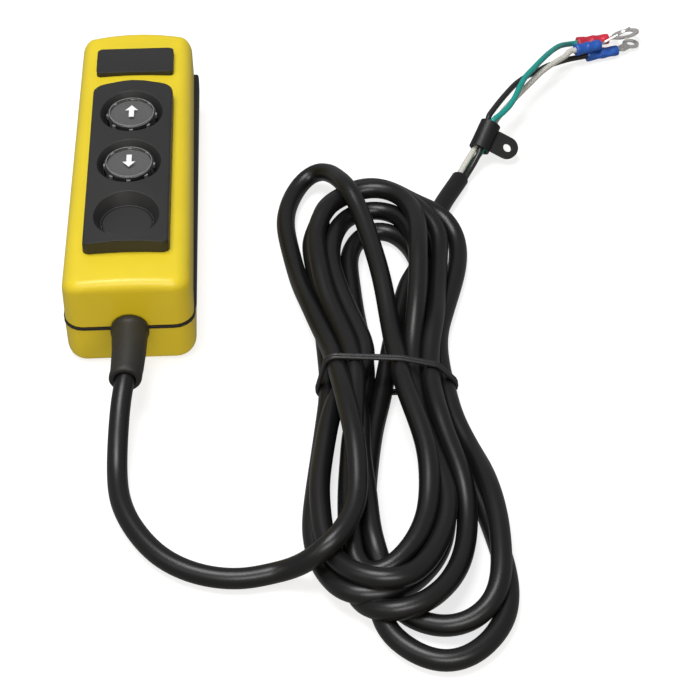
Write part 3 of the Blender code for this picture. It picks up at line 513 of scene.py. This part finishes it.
STACK_ALONG = np.array((-0.033, -0.705, 0.708))     # strands are stacked along this line
SETTLE_STEP = 4 * MM
SETTLE_ROUNDS = 240
NEIGHBOURS = 5                      # points this near along the cable don't push each other
PUSH_SHARE = 0.22                   # share of an overlap that one round takes away
PUSH_STACKED, PUSH_ASIDE = 1.3, 0.5
CROWDING = 0.35                     # how much each contact slows a point
LEAST_GAP = 0.5 * MM                # keeps the push finite where two middle lines cross
ASIDE_KEPT = 0.93                   # share of a sideways shift that one round keeps
ASIDE_MOST = 2.2 * MM
SINK = 0.05 * MM                    # how far a point sinks in a round
FLOOR_GAP = 0.05 * MM
FREE_END_POINTS = 9                 # the free end is held more and more over these
IRON_DRAWN, IRON_SETTLED = 60, 6    # smoothing rounds before and after the settling
CABLE_STEP = 2 * MM

TIE_Y = -114 * MM
TIE_RADIUS = 0.85 * MM              # each of the tie's two ridges
TIE_SPREAD = 0.75 * MM              # and how far it lies from the tie's middle
TIE_REACH = CABLE_RADIUS + 0.7 * MM     # from a strand's middle line to the tie's
TIE_LOW = 0.8 * MM                  # least height of a ridge's middle above the floor
HANK_BEYOND = 60 * MM               # the hank lies past this X, the lead short of it


def settled(line, pinned):
    """Push strands that lie in each other apart, one on the other, and let them sink.

    The shift of a point is kept along one line, which leans back from the vertical, and a
    little to its sides, so that the layout stays as drawn while the heights settle.
    """
    diameter = 2 * CABLE_RADIUS
    count = len(line)
    shift = np.zeros((count, 3))
    hold = np.ones(count)
    hold[:pinned] = np.linspace(0, 1, pinned) ** 2
    hold[-FREE_END_POINTS:] = np.linspace(1, 0, FREE_END_POINTS)
    order = np.arange(count)
    apart = np.triu(np.abs(order[:, None] - order[None, :]) > NEIGHBOURS)
    for _ in range(SETTLE_ROUNDS):
        spots = line + shift
        across = spots[:, None, :] - spots[None, :, :]
        gap2 = (across ** 2).sum(2)
        i, j = np.where((gap2 < diameter ** 2) & apart)
        between = across[i, j]
        gap = np.sqrt(gap2[i, j])
        push = between / np.maximum(gap, LEAST_GAP)[:, None]
        push = push * ((diameter - gap) * PUSH_SHARE)[:, None]
        lift = (push @ STACK_ALONG)[:, None] * STACK_ALONG
        push = PUSH_STACKED * lift + PUSH_ASIDE * (push - lift)
        move = np.zeros((count, 3))
        met = np.ones(count)
        np.add.at(move, i, push)
        np.add.at(move, j, -push)
        np.add.at(met, i, CROWDING)
        np.add.at(met, j, CROWDING)
        shift += move / met[:, None]
        height = shift @ STACK_ALONG
        side = ASIDE_KEPT * (shift - height[:, None] * STACK_ALONG)
        size = np.linalg.norm(side, axis=1)
        side *= np.minimum(1, ASIDE_MOST / np.maximum(size, 1e-9))[:, None]
        shift = side + (height - SINK)[:, None] * STACK_ALONG
        shift[1:-1] = 0.2 * shift[:-2] + 0.6 * shift[1:-1] + 0.2 * shift[2:]
        low = np.maximum(CABLE_RADIUS + FLOOR_GAP - (line + shift)[:, 2], 0)
        shift += (low / STACK_ALONG[2])[:, None] * STACK_ALONG
        shift *= hold[:, None]
    return line + shift


def cable_line():
    """Middle line of the whole cable: lead, hank and free end."""
    points = LEAD_ROUTE + HANK_RISE + sum(HANK_TURNS, []) + HANK_LEAVE + TAIL_ROUTE
    line = smooth_through(np.array(points) * MM, SETTLE_STEP)
    lead = smooth_through(np.array(LEAD_ROUTE) * MM, SETTLE_STEP)
    pinned = round(length_of(lead) / SETTLE_STEP)
    line[pinned:] = ironed(line, IRON_DRAWN)[pinned:]
    line = ironed(settled(line, pinned), IRON_SETTLED)
    return smooth_through(line, CABLE_STEP)


def main_cable(paints):
    line = cable_line()
    cable = round_cord("main_cable", line, CABLE_RADIUS, paints["cable_jacket"], 6)
    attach(cable, "station")
    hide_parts("lead_cord", "cord_hank", "cord_tail")
    return line


def hull_round(centres, reach):
    """Points round the convex outline of equal circles, in order."""
    ring = [(x + reach * math.cos(a), z + reach * math.sin(a))
            for x, z in centres for a in np.linspace(0, 2 * math.pi, 24, endpoint=False)]
    ring = sorted(set((round(x, 6), round(z, 6)) for x, z in ring))

    def half(points):
        out = []
        for p in points:
            while len(out) > 1 and ((out[-1][0] - out[-2][0]) * (p[1] - out[-2][1])
                                    - (out[-1][1] - out[-2][1]) * (p[0] - out[-2][0])) <= 0:
                out.pop()
            out.append(p)
        return out[:-1]

    return half(ring) + half(ring[::-1])


def bundle_tie(line, paints):
    """Thin twin-ridged tie drawn round all strands at the waist of the hank."""
    crossing = [p for p, q in zip(line, line[1:])
                if (p[1] - TIE_Y) * (q[1] - TIE_Y) <= 0 and p[0] > HANK_BEYOND]
    rim = hull_round([(p[0], p[2]) for p in crossing], TIE_REACH)
    loop = [Vector((x, TIE_Y, max(z, FLOOR_Z + TIE_LOW))) for x, z in rim]
    for number, offset in enumerate((-TIE_SPREAD, TIE_SPREAD), 1):
        curve = bpy.data.curves.new("tie_strand", "CURVE")
        curve.dimensions = "3D"
        curve.bevel_depth = TIE_RADIUS
        curve.bevel_resolution = 4
        spline = curve.splines.new("POLY")
        spline.points.add(len(loop) - 1)
        for point, spot in zip(spline.points, loop):
            point.co = (spot.x, spot.y + offset, spot.z, 1)
        spline.use_cyclic_u = True
        spline.use_smooth = True
        tie = add_object("tie_strand_%d" % number, curve, paints["tie"])
        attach(tie, "station")
    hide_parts("bundle_tie")


# ---------------------------------------------------------------- cores and terminals

BUNDLE_STEP = 3 * MM
CORE_STEP = 1.2 * MM
STRAIGHT_RUN = 6                    # the cores leave the jacket straight for this, in millimetres
SLEEVE_APPROACH, SLEEVE_DEPTH = 3, 1.5      # and run straight before and inside the sleeve
SLEEVE_PAINT = {"green": "red_sleeve", "white": "blue_sleeve", "black": "blue_sleeve"}


def bundle_stations():
    """Middle line of the three cores from the jacket's end to just past the clip."""
    jacket_end = Vector(TAIL_ROUTE[-1]) * MM
    heading = (jacket_end - Vector(TAIL_ROUTE[-2]) * MM).normalized()
    reach = CLIP_LENGTH / 2 + MM
    knots = [jacket_end - heading * MM, jacket_end + heading * STRAIGHT_RUN * MM,
             CLIP_CENTRE - CLIP_ALONG * reach, CLIP_CENTRE, CLIP_CENTRE + CLIP_ALONG * reach]
    return [Vector(p) for p in smooth_through(knots, BUNDLE_STEP)]


def sleeve_heading(colour):
    return (Vector(SLEEVE_ENDS[colour]) - Vector(CORES[colour][1][-1])).normalized()


def core_line(colour):
    """A core twists with its bundle up to the clip and ends in line with its own sleeve."""
    start_angle, beyond = CORES[colour]
    lead_in = Vector(beyond[-1]) - SLEEVE_APPROACH * sleeve_heading(colour)
    inside = Vector(beyond[-1]) + SLEEVE_DEPTH * sleeve_heading(colour)
    beyond = beyond[:-1] + [lead_in, beyond[-1], inside]
    axis = bundle_stations()
    points = []
    for i, spot in enumerate(axis):
        ahead = (axis[min(i + 1, len(axis) - 1)] - axis[max(i - 1, 0)]).normalized()
        right = ahead.cross(UP).normalized()
        up = right.cross(ahead)
        angle = start_angle + CORE_TWIST * (i / (len(axis) - 1)) ** 2
        points.append(spot + CORE_RING * (right * math.cos(angle) + up * math.sin(angle)))
    points += [Vector(p) * MM for p in beyond]
    return smooth_through(points, CORE_STEP)


def crimp_sleeve(colour, paint):
    """Insulated barrel with a bell mouth and two flat crimps."""
    start = Vector(CORES[colour][1][-1]) * MM
    end = Vector(SLEEVE_ENDS[colour]) * MM
    along = (end - start).normalized()
    right = along.cross(UP).normalized()
    up = right.cross(along)
    long = (end - start).length
    r = SLEEVE_RADIUS
    # share of the length, then half width and half height as shares of the radius
    stations = [(0.0, 0.70, 0.70), (0.0, 0.98, 0.98), (0.02, 1.06, 1.06), (0.10, 1.04, 1.04),
                (0.18, 1.0, 1.0), (0.25, 1.08, 0.88), (0.30, 1.16, 0.70), (0.38, 1.16, 0.68),
                (0.44, 1.08, 0.86), (0.50, 1.02, 0.98), (0.56, 1.04, 0.96), (0.62, 1.12, 0.76),
                (0.68, 1.15, 0.66), (0.76, 1.13, 0.68), (0.82, 1.05, 0.84), (0.90, 0.98, 0.92),
                (0.98, 0.94, 0.90), (1.0, 0.88, 0.84), (1.0, 0.55, 0.5)]
    rings = [round_ring(start + along * long * s, right, up, r * w, r * h, 36)
             for s, w, h in stations]
    return crisp(loft("sleeve_" + colour, rings, paint), 50)


def core_cords(paints):
    for colour in CORES:
        line = core_line(colour)
        core = round_cord("core_cord_" + colour, line, CORE_RADIUS,
                          paints[colour + "_insulation"], 4)
        sleeve = crimp_sleeve(colour, paints[SLEEVE_PAINT[colour]])
        for piece, slot in ((core, colour + "_insulation"), (sleeve, SLEEVE_PAINT[colour])):
            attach(piece, "station")
        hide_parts("core_" + colour)
        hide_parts("terminal_sleeve_" + colour)


# ---------------------------------------------------------------- housing

LENGTH = 178 * MM
HALF_WIDTH = 27.7 * MM
TOP_TAPER = 0.95
END_ARCH = 2.5 * MM
ARCH_RUN = 30 * MM                  # the far end's arch fades out over this
CORNER_RADIUS = 8.8 * MM
LEAST_CORNER = 1.4 * MM
FAR_CORNER_CUT = 2.8 * MM           # the far corners are this much tighter at the front
FAR_CUT_HEIGHTS = (22 * MM, 34 * MM)
CORNER_STEPS, SIDE_STEPS = 8, 10
WALL = 2.6 * MM
CROWN = 1.9 * MM
CROWN_RUN = 9 * MM                  # the crown fades out over this below the face
LEAN = 0.6 * MM                     # the sides draw in towards the front face
LEAN_FOOT = 5 * MM
FACE_EDGE = 42.7 * MM               # front face beside its rounded edges
FACE_STEPS = 10
EDGE_STEPS = 12
FRONT_EDGES = (6.5 * MM, 4.2 * MM, 5 * MM)        # radii: long sides, cable end, far end
REAR_EDGES = (5 * MM, 3 * MM, 6 * MM)
SEAM_LIP = ((0, 0.22 * MM), (0.1 * MM, 0.07 * MM), (0.35 * MM, 0))      # rise, set-back
CAP_BORE, PLUG_BORE = 11.6 * MM, 8.2 * MM         # radii of the holes in the shells
BOOT_BORE, SCREW_BORE = 6.9 * MM, 3.3 * MM
FACE_CUT = (36 * MM, 60 * MM)                     # where each cut starts and ends: up from below
END_CUT = (-100 * MM, -80 * MM)                   # the face, along Y at the cable end, and up
SCREW_CUT = (-1 * MM, 4.4 * MM)                   # into the rear face


def blend_in(value, start, end):
    share = min(1, max(0, (value - start) / (end - start)))
    return share * share * (3 - 2 * share)


def drawn_in(height, radius):
    """How far a rounded edge lies back at a height above its foot."""
    height = min(max(height, 0), radius)
    return radius - math.sqrt(max(0, radius ** 2 - height ** 2))


def corner_radius(half, side, cut=0):
    return min(max(CORNER_RADIUS - cut - side, LEAST_CORNER), 0.95 * half)


def plan_ring(z, side, cable_end, far_end):
    """Rounded outline of the housing at one height, drawn in on its sides and ends."""
    half = HALF_WIDTH - side
    low, high = -LENGTH / 2 + cable_end, LENGTH / 2 - END_ARCH - far_end
    r = corner_radius(half, side)
    far = corner_radius(half, side, FAR_CORNER_CUT * blend_in(z, *FAR_CUT_HEIGHTS))
    ring = []
    corners = [(half - r, low + r, -90, r), (half - far, high - far, 0, far),
               (far - half, high - far, 90, far), (r - half, low + r, 180, r)]
    for number, (x, y, start, r) in enumerate(corners):
        for step in range(CORNER_STEPS + 1):
            angle = math.radians(start + 90 * step / CORNER_STEPS)
            ring.append((x + r * math.cos(angle), y + r * math.sin(angle)))
        after = corners[(number + 1) % 4]
        turn = math.radians(start + 90)
        first = (x + r * math.cos(turn), y + r * math.sin(turn))
        last = (after[0] + after[3] * math.cos(turn), after[1] + after[3] * math.sin(turn))
        for step in range(1, SIDE_STEPS):
            ring.append((first[0] + (last[0] - first[0]) * step / SIDE_STEPS,
                         first[1] + (last[1] - first[1]) * step / SIDE_STEPS))
    shaped = []
    for x, y in ring:
        across = 1 - (x / HALF_WIDTH) ** 2
        y += END_ARCH * across * blend_in(y, high - ARCH_RUN, high)
        x *= 1 + (TOP_TAPER - 1) * (y + LENGTH / 2) / LENGTH
        shaped.append(Vector((x, y, z)))
    return shaped


def shell_rings(inset, seam, edge, edges, crown):
    """Rings from the seam over the rounded edges to the middle of the face."""
    way = 1 if edge > seam else -1
    top = edge - way * inset
    radii = [max(0.5 * MM, r - inset) for r in edges]
    tall = max(radii)
    heights = [(seam + way * rise, back) for rise, back in SEAM_LIP]
    heights.append((top - way * (tall + 0.5 * MM), 0))
    heights += [(top - way * tall * (1 - math.sin(math.radians(90 * k / EDGE_STEPS))), 0)
                for k in range(EDGE_STEPS + 1)]
    rings = []
    for z, extra in heights:
        rise = way * (z - top)
        ends = [drawn_in(rise + r, r) + inset + extra for r in radii]
        ends[0] += LEAN * blend_in(z, LEAN_FOOT, edge) if way > 0 else 0
        rings.append(plan_ring(z, *ends))
    for k in range(1, FACE_STEPS + 1):
        grow = (HALF_WIDTH - radii[0] - inset - 1.5 * MM) * k / FACE_STEPS
        ends = [r + inset + grow for r in radii]
        ends[0] += LEAN if way > 0 else 0
        rings.append(plan_ring(top, *ends))
    for ring in rings:
        for p in ring:
            p.z += crown * (1 - (p.x / HALF_WIDTH) ** 2) * blend_in(p.z, top - CROWN_RUN, top)
    return rings


def half_shell(name, seam, edge, edges, crown, paint):
    """One half of the housing: its outside and inside skins, joined at the seam."""
    outside = shell_rings(0, seam, edge, edges, crown)
    inside = shell_rings(WALL, seam, edge, edges, crown)
    rings = outside[::-1] + inside
    return loft(name, rings, paint)


def bore(obj, radius, start, end):
    """Cut a round hole between two points."""
    centre, along = (start + end) / 2, end - start
    tool = turned("bore", [(radius, -along.length / 2), (radius, along.length / 2)], centre,
                  along, None, 56)
    change = obj.modifiers.new("bore", "BOOLEAN")
    change.operation = "DIFFERENCE"
    change.solver = "EXACT"
    change.object = tool
    graph = bpy.context.evaluated_depsgraph_get()
    mesh = bpy.data.meshes.new_from_object(obj.evaluated_get(graph))
    obj.modifiers.clear()
    obj.data = mesh
    bpy.data.objects.remove(tool, do_unlink=True)


def housing(paints):
    yellow = paints["yellow_housing"]
    front_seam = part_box("front_housing")[0].z
    rear_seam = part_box("rear_housing")[1].z
    front = half_shell("front_shell", front_seam, FACE_EDGE, FRONT_EDGES, CROWN, yellow)
    rear = half_shell("rear_shell", rear_seam, 0, REAR_EDGES, 0, yellow)
    for node, radius in (("up_button_cap", CAP_BORE), ("down_button_cap", CAP_BORE),
                         ("blanking_plug", PLUG_BORE)):
        y = middle_of(node).y
        bore(front, radius, *[Vector((0, y, z)) for z in FACE_CUT])
    for half in (front, rear):
        bore(half, BOOT_BORE, *[Vector((BOOT_TIP.x, y, BOOT_TIP.z)) for y in END_CUT])
    for number in range(1, 5):
        spot = middle_of("housing_screw_%d" % number)
        bore(rear, SCREW_BORE, *[Vector((spot.x, spot.y, z)) for z in SCREW_CUT])
    for half, node in ((front, "front_housing"), (rear, "rear_housing")):
        crisp(half, 35)
        half.data.materials.clear()
        half.data.materials.append(yellow)
        normals = half.modifiers.new("even_normals", "WEIGHTED_NORMAL")
        normals.keep_sharp = True
        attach(half, "station")
        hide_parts(node)


GRIP_REACH = {"side_grip_left": 28.1, "side_grip_right": 28.2}       # outer faces, in millimetres
GRIP_FOOT = 25
GRIP_STEPS = 16


def side_grip(node, reach, paints):
    """Soft strip along the seam of one side: a long oval with a rounded outer face."""
    low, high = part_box(node)
    side = 1 if high.x > 0 else -1
    radius = (high.z - low.z) / 2
    middle = (low.z + high.z) / 2
    rings = []
    for x, inset in ((GRIP_FOOT, 0), (reach - 1, 0), (reach - 0.55, 0.12), (reach - 0.2, 0.45),
                     (reach, 1.1), (reach, 3.2)):
        r = radius - inset * MM
        ring = []
        for end, start in ((high.y - radius, -90), (low.y + radius, 90)):
            for step in range(GRIP_STEPS + 1):
                angle = math.radians(start + 180 * step / GRIP_STEPS)
                ring.append(Vector((side * x * MM, end + r * math.cos(angle),
                                    middle + r * math.sin(angle))))
        rings.append(ring)
    strip = crisp(loft(node + "_strip", rings, paints["rubber_trim"]), 45)
    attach(strip, "station")
    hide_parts(node)


THROAT_OUTSIDE = 11.57 * MM
THROAT_TOP = 45.9 * MM
THROAT_DEPTH = 3 * MM               # how far the buttons' throats reach below the panel's foot
SPARE_LEDGE = 44.7 * MM


def panel_throats(paints):
    """Black lining of the holes under the panel's three funnels."""
    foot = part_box("control_panel")[0].z - THROAT_DEPTH
    for name, node, inside, low in (("up_throat", "up_button_cap", 11.3 * MM, foot),
                                    ("down_throat", "down_button_cap", 11.3 * MM, foot),
                                    ("spare_throat", "blanking_plug", 10.95 * MM, SPARE_LEDGE)):
        profile = [(inside, low), (THROAT_OUTSIDE, low), (THROAT_OUTSIDE, THROAT_TOP),
                   (inside + 0.1 * MM, THROAT_TOP - 0.1 * MM), (inside, THROAT_TOP - 0.4 * MM)]
        ring = turned(name, profile, Vector((0, middle_of(node).y, 0)), UP,
                      paints["black_panel"], 72, closed=True)
        crisp(ring)
        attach(ring, "station")


# ---------------------------------------------------------------- strain relief

BOOT_GAP = 0.3 * MM                 # between the collar and the housing
BOOT_CABLE_POINTS = 40              # the cable's first points, enough to pass the boot's tip


def strain_relief(line, paints):
    """Tapered rubber boot: a grooved inner end, a low collar and a mouth that follows the cable."""
    low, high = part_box("strain_relief_boot")
    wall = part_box("front_housing")[0].y - BOOT_GAP
    tip = low.y
    outside = [(9.0, high.y), (9.0, wall + 3.2 * MM), (6.6, wall + 3.0 * MM), (6.6, wall),
               (7.7, wall), (8.05, wall - 0.25 * MM), (8.15, wall - 0.7 * MM),
               (8.15, wall - 2.4 * MM), (8.05, wall - 2.9 * MM), (7.75, wall - 3.3 * MM),
               (7.65, wall - 4 * MM), (7.5, wall - 7 * MM), (7.2, wall - 14 * MM),
               (6.85, tip + 6 * MM), (6.75, tip + 4.2 * MM), (6.8, tip + 3 * MM),
               (6.85, tip + 1.6 * MM), (6.7, tip + 0.7 * MM), (6.3, tip + 0.15 * MM),
               (5.9, tip)]
    inside = [(4.7, tip + 0.1 * MM), (4.4, tip + 0.6 * MM), (4.35, tip + 4 * MM),
              (4.35, wall - 10 * MM), (4.35, high.y)]
    path = np.vstack([line[:BOOT_CABLE_POINTS][::-1], [[BOOT_TIP.x, 0, BOOT_TIP.z]]])
    rings = []
    for radius, y in outside + inside:
        x, z = (float(np.interp(y, path[:, 1], path[:, k])) for k in (0, 2))
        rings.append(round_ring(Vector((x, y, z)), Vector((1, 0, 0)), UP, radius * MM,
                                radius * MM, 72))
    boot = crisp(loft("cable_boot", rings, paints["boot"], closed=True))
    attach(boot, "station")
    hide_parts("strain_relief_boot")


# ---------------------------------------------------------------- push buttons

LUGS = 8
LUG_FOOT, LUG_FACE = 0.085, 0.07    # half angles of a lug, in radians
RIM_LIFT = 0.04 * MM                # rings printed on the legend disc
ARROW_HEIGHTS = (-0.08 * MM, 0.03 * MM)           # from the top of the lens


def flat_shape(name, outline, centre, low, high, paint):
    """An upright prism over an outline about a centre, in millimetres."""
    base = [Vector((centre.x + x * MM, centre.y + y * MM, low)) for x, y in outline]
    top = [Vector((p.x, p.y, high)) for p in base]
    obj = loft(name, [base, top], paint)
    return crisp(obj, 30)


def arrow_outline(direction):
    """Plain arrow: a triangular head on a short shaft."""
    tip, neck, end, half_head, half_shaft = 4.1, 0.6, -4.1, 2.8, 1.15
    points = [(-half_shaft, end), (half_shaft, end), (half_shaft, neck), (half_head, neck),
              (0, tip), (-half_head, neck), (-half_shaft, neck)]
    return [(x * direction, y * direction) for x, y in points]


def button_cap(name, centre, radius, low, top, paints):
    """Lens with a rounded edge and a skirt that steps in towards its foot."""
    r = radius
    profile = [(0.02 * MM, top - 0.12 * MM), (0.5 * r, top - 0.09 * MM), (r - 1.6 * MM, top),
               (r - 0.9 * MM, top), (r - 0.35 * MM, top - 0.12 * MM),
               (r - 0.08 * MM, top - 0.4 * MM), (r, top - 0.8 * MM), (r, top - 1.5 * MM),
               (r - 0.35 * MM, top - 1.7 * MM), (r - 0.35 * MM, low), (r - 1.1 * MM, low),
               (r - 1.1 * MM, top - 1.2 * MM), (0.02 * MM, top - 1.2 * MM)]
    return crisp(turned(name + "_lens", profile, centre, UP, paints["smoked_lens"], 80,
                        closed=True))


def cap_lugs(name, centre, radius, low, top, paint):
    """Lugs round the skirt, which turn it into a row of notches."""
    points, faces = [], []
    inner, outer = radius - 0.45 * MM, radius + 0.28 * MM
    for lug in range(LUGS):
        middle = 2 * math.pi * lug / LUGS
        first = len(points)
        for z, reach in ((low, outer - 0.25 * MM), (low + 0.35 * MM, outer), (top, outer)):
            for r, half in ((inner, LUG_FOOT), (reach, LUG_FACE)):
                for side in (-1, 1):
                    angle = middle + side * half
                    points.append(centre + Vector((r * math.cos(angle), r * math.sin(angle), z)))
        for step in (0, 4):
            a = first + step
            faces += [(a, a + 2, a + 6, a + 4), (a + 2, a + 3, a + 7, a + 6),
                      (a + 3, a + 1, a + 5, a + 7), (a + 1, a, a + 4, a + 5)]
        faces += [(first, first + 1, first + 3, first + 2),
                  (first + 8, first + 10, first + 11, first + 9)]
    return crisp(add_mesh(name + "_lens_lugs", points, faces, paint), 30)


def thin_ring(name, centre, radius, height, paint):
    """Raised line round a centre, as a printed or moulded ring; on a lens top it is a painted
    highlight line.
    """
    profile = [(radius, height), (radius + 0.18 * MM, height + 0.1 * MM),
               (radius + 0.36 * MM, height)]
    return turned(name, profile, centre, UP, paint, 72, closed=True)


def button_looks(name, paints):
    """Smoked lens with lugs round its skirt, a ring on it, two rings under it, and its arrow. The
    lugs are painted light grey as painted glints, and the ring on the lens is a painted highlight
    line.
    """
    low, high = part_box(name + "_button_cap")
    middle = (low + high) / 2
    centre = Vector((middle.x, middle.y, 0))
    radius = (high.x - low.x) / 2
    disc_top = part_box(name + "_button_legend")[1].z
    grey = paints["print_and_glint_grey"]
    cap = button_cap(name, centre, radius, low.z, high.z, paints)
    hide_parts(name + "_button_cap")
    # the lugs are part of the smoked lens, painted light grey as painted glints on the notched skirt
    lugs = cap_lugs(name, centre, radius, low.z + 0.3 * MM, high.z - 1.55 * MM, grey)
    rim = thin_ring(name + "_edge_ring", centre, radius - 1.75 * MM, disc_top + RIM_LIFT, grey)
    # thin light grey ring on the clear lens top: a painted highlight line along its bevel
    edge = thin_ring(name + "_painted_highlight_line", centre, radius - 1.2 * MM, high.z - 0.02 * MM, grey)
    ring = thin_ring(name + "_inner_ring", centre, 0.63 * radius, disc_top + RIM_LIFT, grey)
    direction = 1 if name == "up" else -1
    spot = middle + Vector((0, 2.0 * MM - (high.z - disc_top), 0))
    arrow = flat_shape(name + "_arrow", arrow_outline(direction), spot,
                       high.z + ARROW_HEIGHTS[0], high.z + ARROW_HEIGHTS[1], paints["arrow"])
    for piece, slot in ((cap, "smoked_lens"), (lugs, "smoked_lens"), (rim, "legend_disc"),
                        (edge, "smoked_lens"), (ring, "legend_disc"), (arrow, "legend_disc")):
        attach(piece, name + "_button")


SPRING_WIRE = 0.3 * MM              # radius of the wire
SPRING_TURNS = 5
SPRING_STEPS = 24                   # rings in each turn


def return_spring(name, paints):
    """Fine coil under a button."""
    low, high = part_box(name + "_return_spring")
    radius = (high.x - low.x) / 2 - SPRING_WIRE
    tall = high.z - low.z
    count = SPRING_TURNS * SPRING_STEPS
    rings = []
    for i in range(count + 1):
        angle = 2 * math.pi * i / SPRING_STEPS
        outward = Vector((math.cos(angle), math.sin(angle), 0))
        rise = low.z + SPRING_WIRE + (tall - 2 * SPRING_WIRE) * i / count
        spot = Vector(((low.x + high.x) / 2, (low.y + high.y) / 2, rise)) + outward * radius
        rings.append(round_ring(spot, outward, UP, SPRING_WIRE, SPRING_WIRE, 10))
    spring = loft(name + "_spring_coil", rings, paints["steel"])
    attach(spring, "station")
    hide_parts(name + "_return_spring")
    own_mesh(spring)


# ---------------------------------------------------------------- stage

FLOOR_SIZE = 3
FLOOR_GLOW = 0.75
WORLD_LIGHT = 0.28
WARM = (1, 0.86, 0.55)
CAMERA_SPOT = (0.06561, -0.68279, 0.59422)
CAMERA_TURN = (45.094, 0, -2.685)   # degrees about X, Y and Z
CAMERA_LENS, CAMERA_SENSOR = 100.24, 36


def floor():
    mesh = bpy.data.meshes.new("stage_floor")
    shape = bmesh.new()
    bmesh.ops.create_grid(shape, x_segments=2, y_segments=2, size=FLOOR_SIZE)
    shape.to_mesh(mesh)
    shape.free()
    paint = Paint("stage_paper", (0.4, 0.4, 0.4), 0.9)
    paint.shader.inputs["Emission Color"].default_value = (1, 1, 1, 1)
    paint.shader.inputs["Emission Strength"].default_value = FLOOR_GLOW
    obj = add_object("stage_floor", mesh, paint.grain(60, 0.02 * MM).material)
    obj.location.z = FLOOR_Z - 0.15 * MM
    obj.visible_diffuse = obj.visible_glossy = False      # it throws no light on the object


def area_light(name, spot, target, size, power, colour=(1, 1, 1)):
    data = bpy.data.lights.new(name, "AREA")
    data.shape = "RECTANGLE"
    data.size, data.size_y = size
    data.energy = power
    data.color = colour
    lamp = add_object(name, data)
    lamp.location = spot
    lamp.rotation_euler = (Vector(target) - Vector(spot)).to_track_quat("-Z", "Y").to_euler()
    return lamp


def studio():
    """A soft key light from above, a weak fill, and a front light split into tint and gloss."""
    middle = (CAD_BOX[0] + CAD_BOX[1]) / 2
    area_light("key_light", middle + Vector((-0.25, 0.05, 1.2)), middle, (0.6, 0.6), 11)
    area_light("fill_light", middle + Vector((-0.9, -0.6, 0.9)), middle, (0.7, 0.7), 1.5)
    front = area_light("front_light", middle + Vector((0, -1.1, 0.25)), middle, (0.7, 0.3), 4, WARM)
    front.visible_glossy = False                          # its warm tint shows in no highlight
    gloss = area_light("gloss_light", middle + Vector((0.1, -0.85, 0.9)), middle, (0.9, 0.35), 7.5)
    gloss.visible_diffuse = False                         # it shows in highlights only
    world = bpy.data.worlds.new("studio")
    bpy.context.scene.world = world
    world.use_nodes = True
    sky = world.node_tree.nodes["Background"]
    sky.inputs["Color"].default_value = (1, 1, 1, 1)
    sky.inputs["Strength"].default_value = WORLD_LIGHT
    bpy.context.scene.view_settings.view_transform = "Standard"


def camera():
    data = bpy.data.cameras.new("camera")
    data.lens = CAMERA_LENS
    data.sensor_width = CAMERA_SENSOR
    data.clip_start, data.clip_end = 0.01, 20
    obj = add_object("camera", data)
    obj.location = CAMERA_SPOT
    obj.rotation_euler = [math.radians(turn) for turn in CAMERA_TURN]
    bpy.context.scene.camera = obj


def main():
    paints = make_paints()
    paint_cad(paints)
    paints["boot"] = boot_rubber()
    paints["print_and_glint_grey"] = print_and_glint_grey()
    paints["arrow"] = arrow_print()
    camera()
    floor()
    studio()
    line = main_cable(paints)
    bundle_tie(line, paints)
    core_cords(paints)
    strain_relief(line, paints)
    housing(paints)
    for node, reach in GRIP_REACH.items():
        side_grip(node, reach, paints)
    panel_throats(paints)
    for name in BUTTONS:
        button_looks(name, paints)
        return_spring(name, paints)
    bpy.context.view_layer.update()


main()
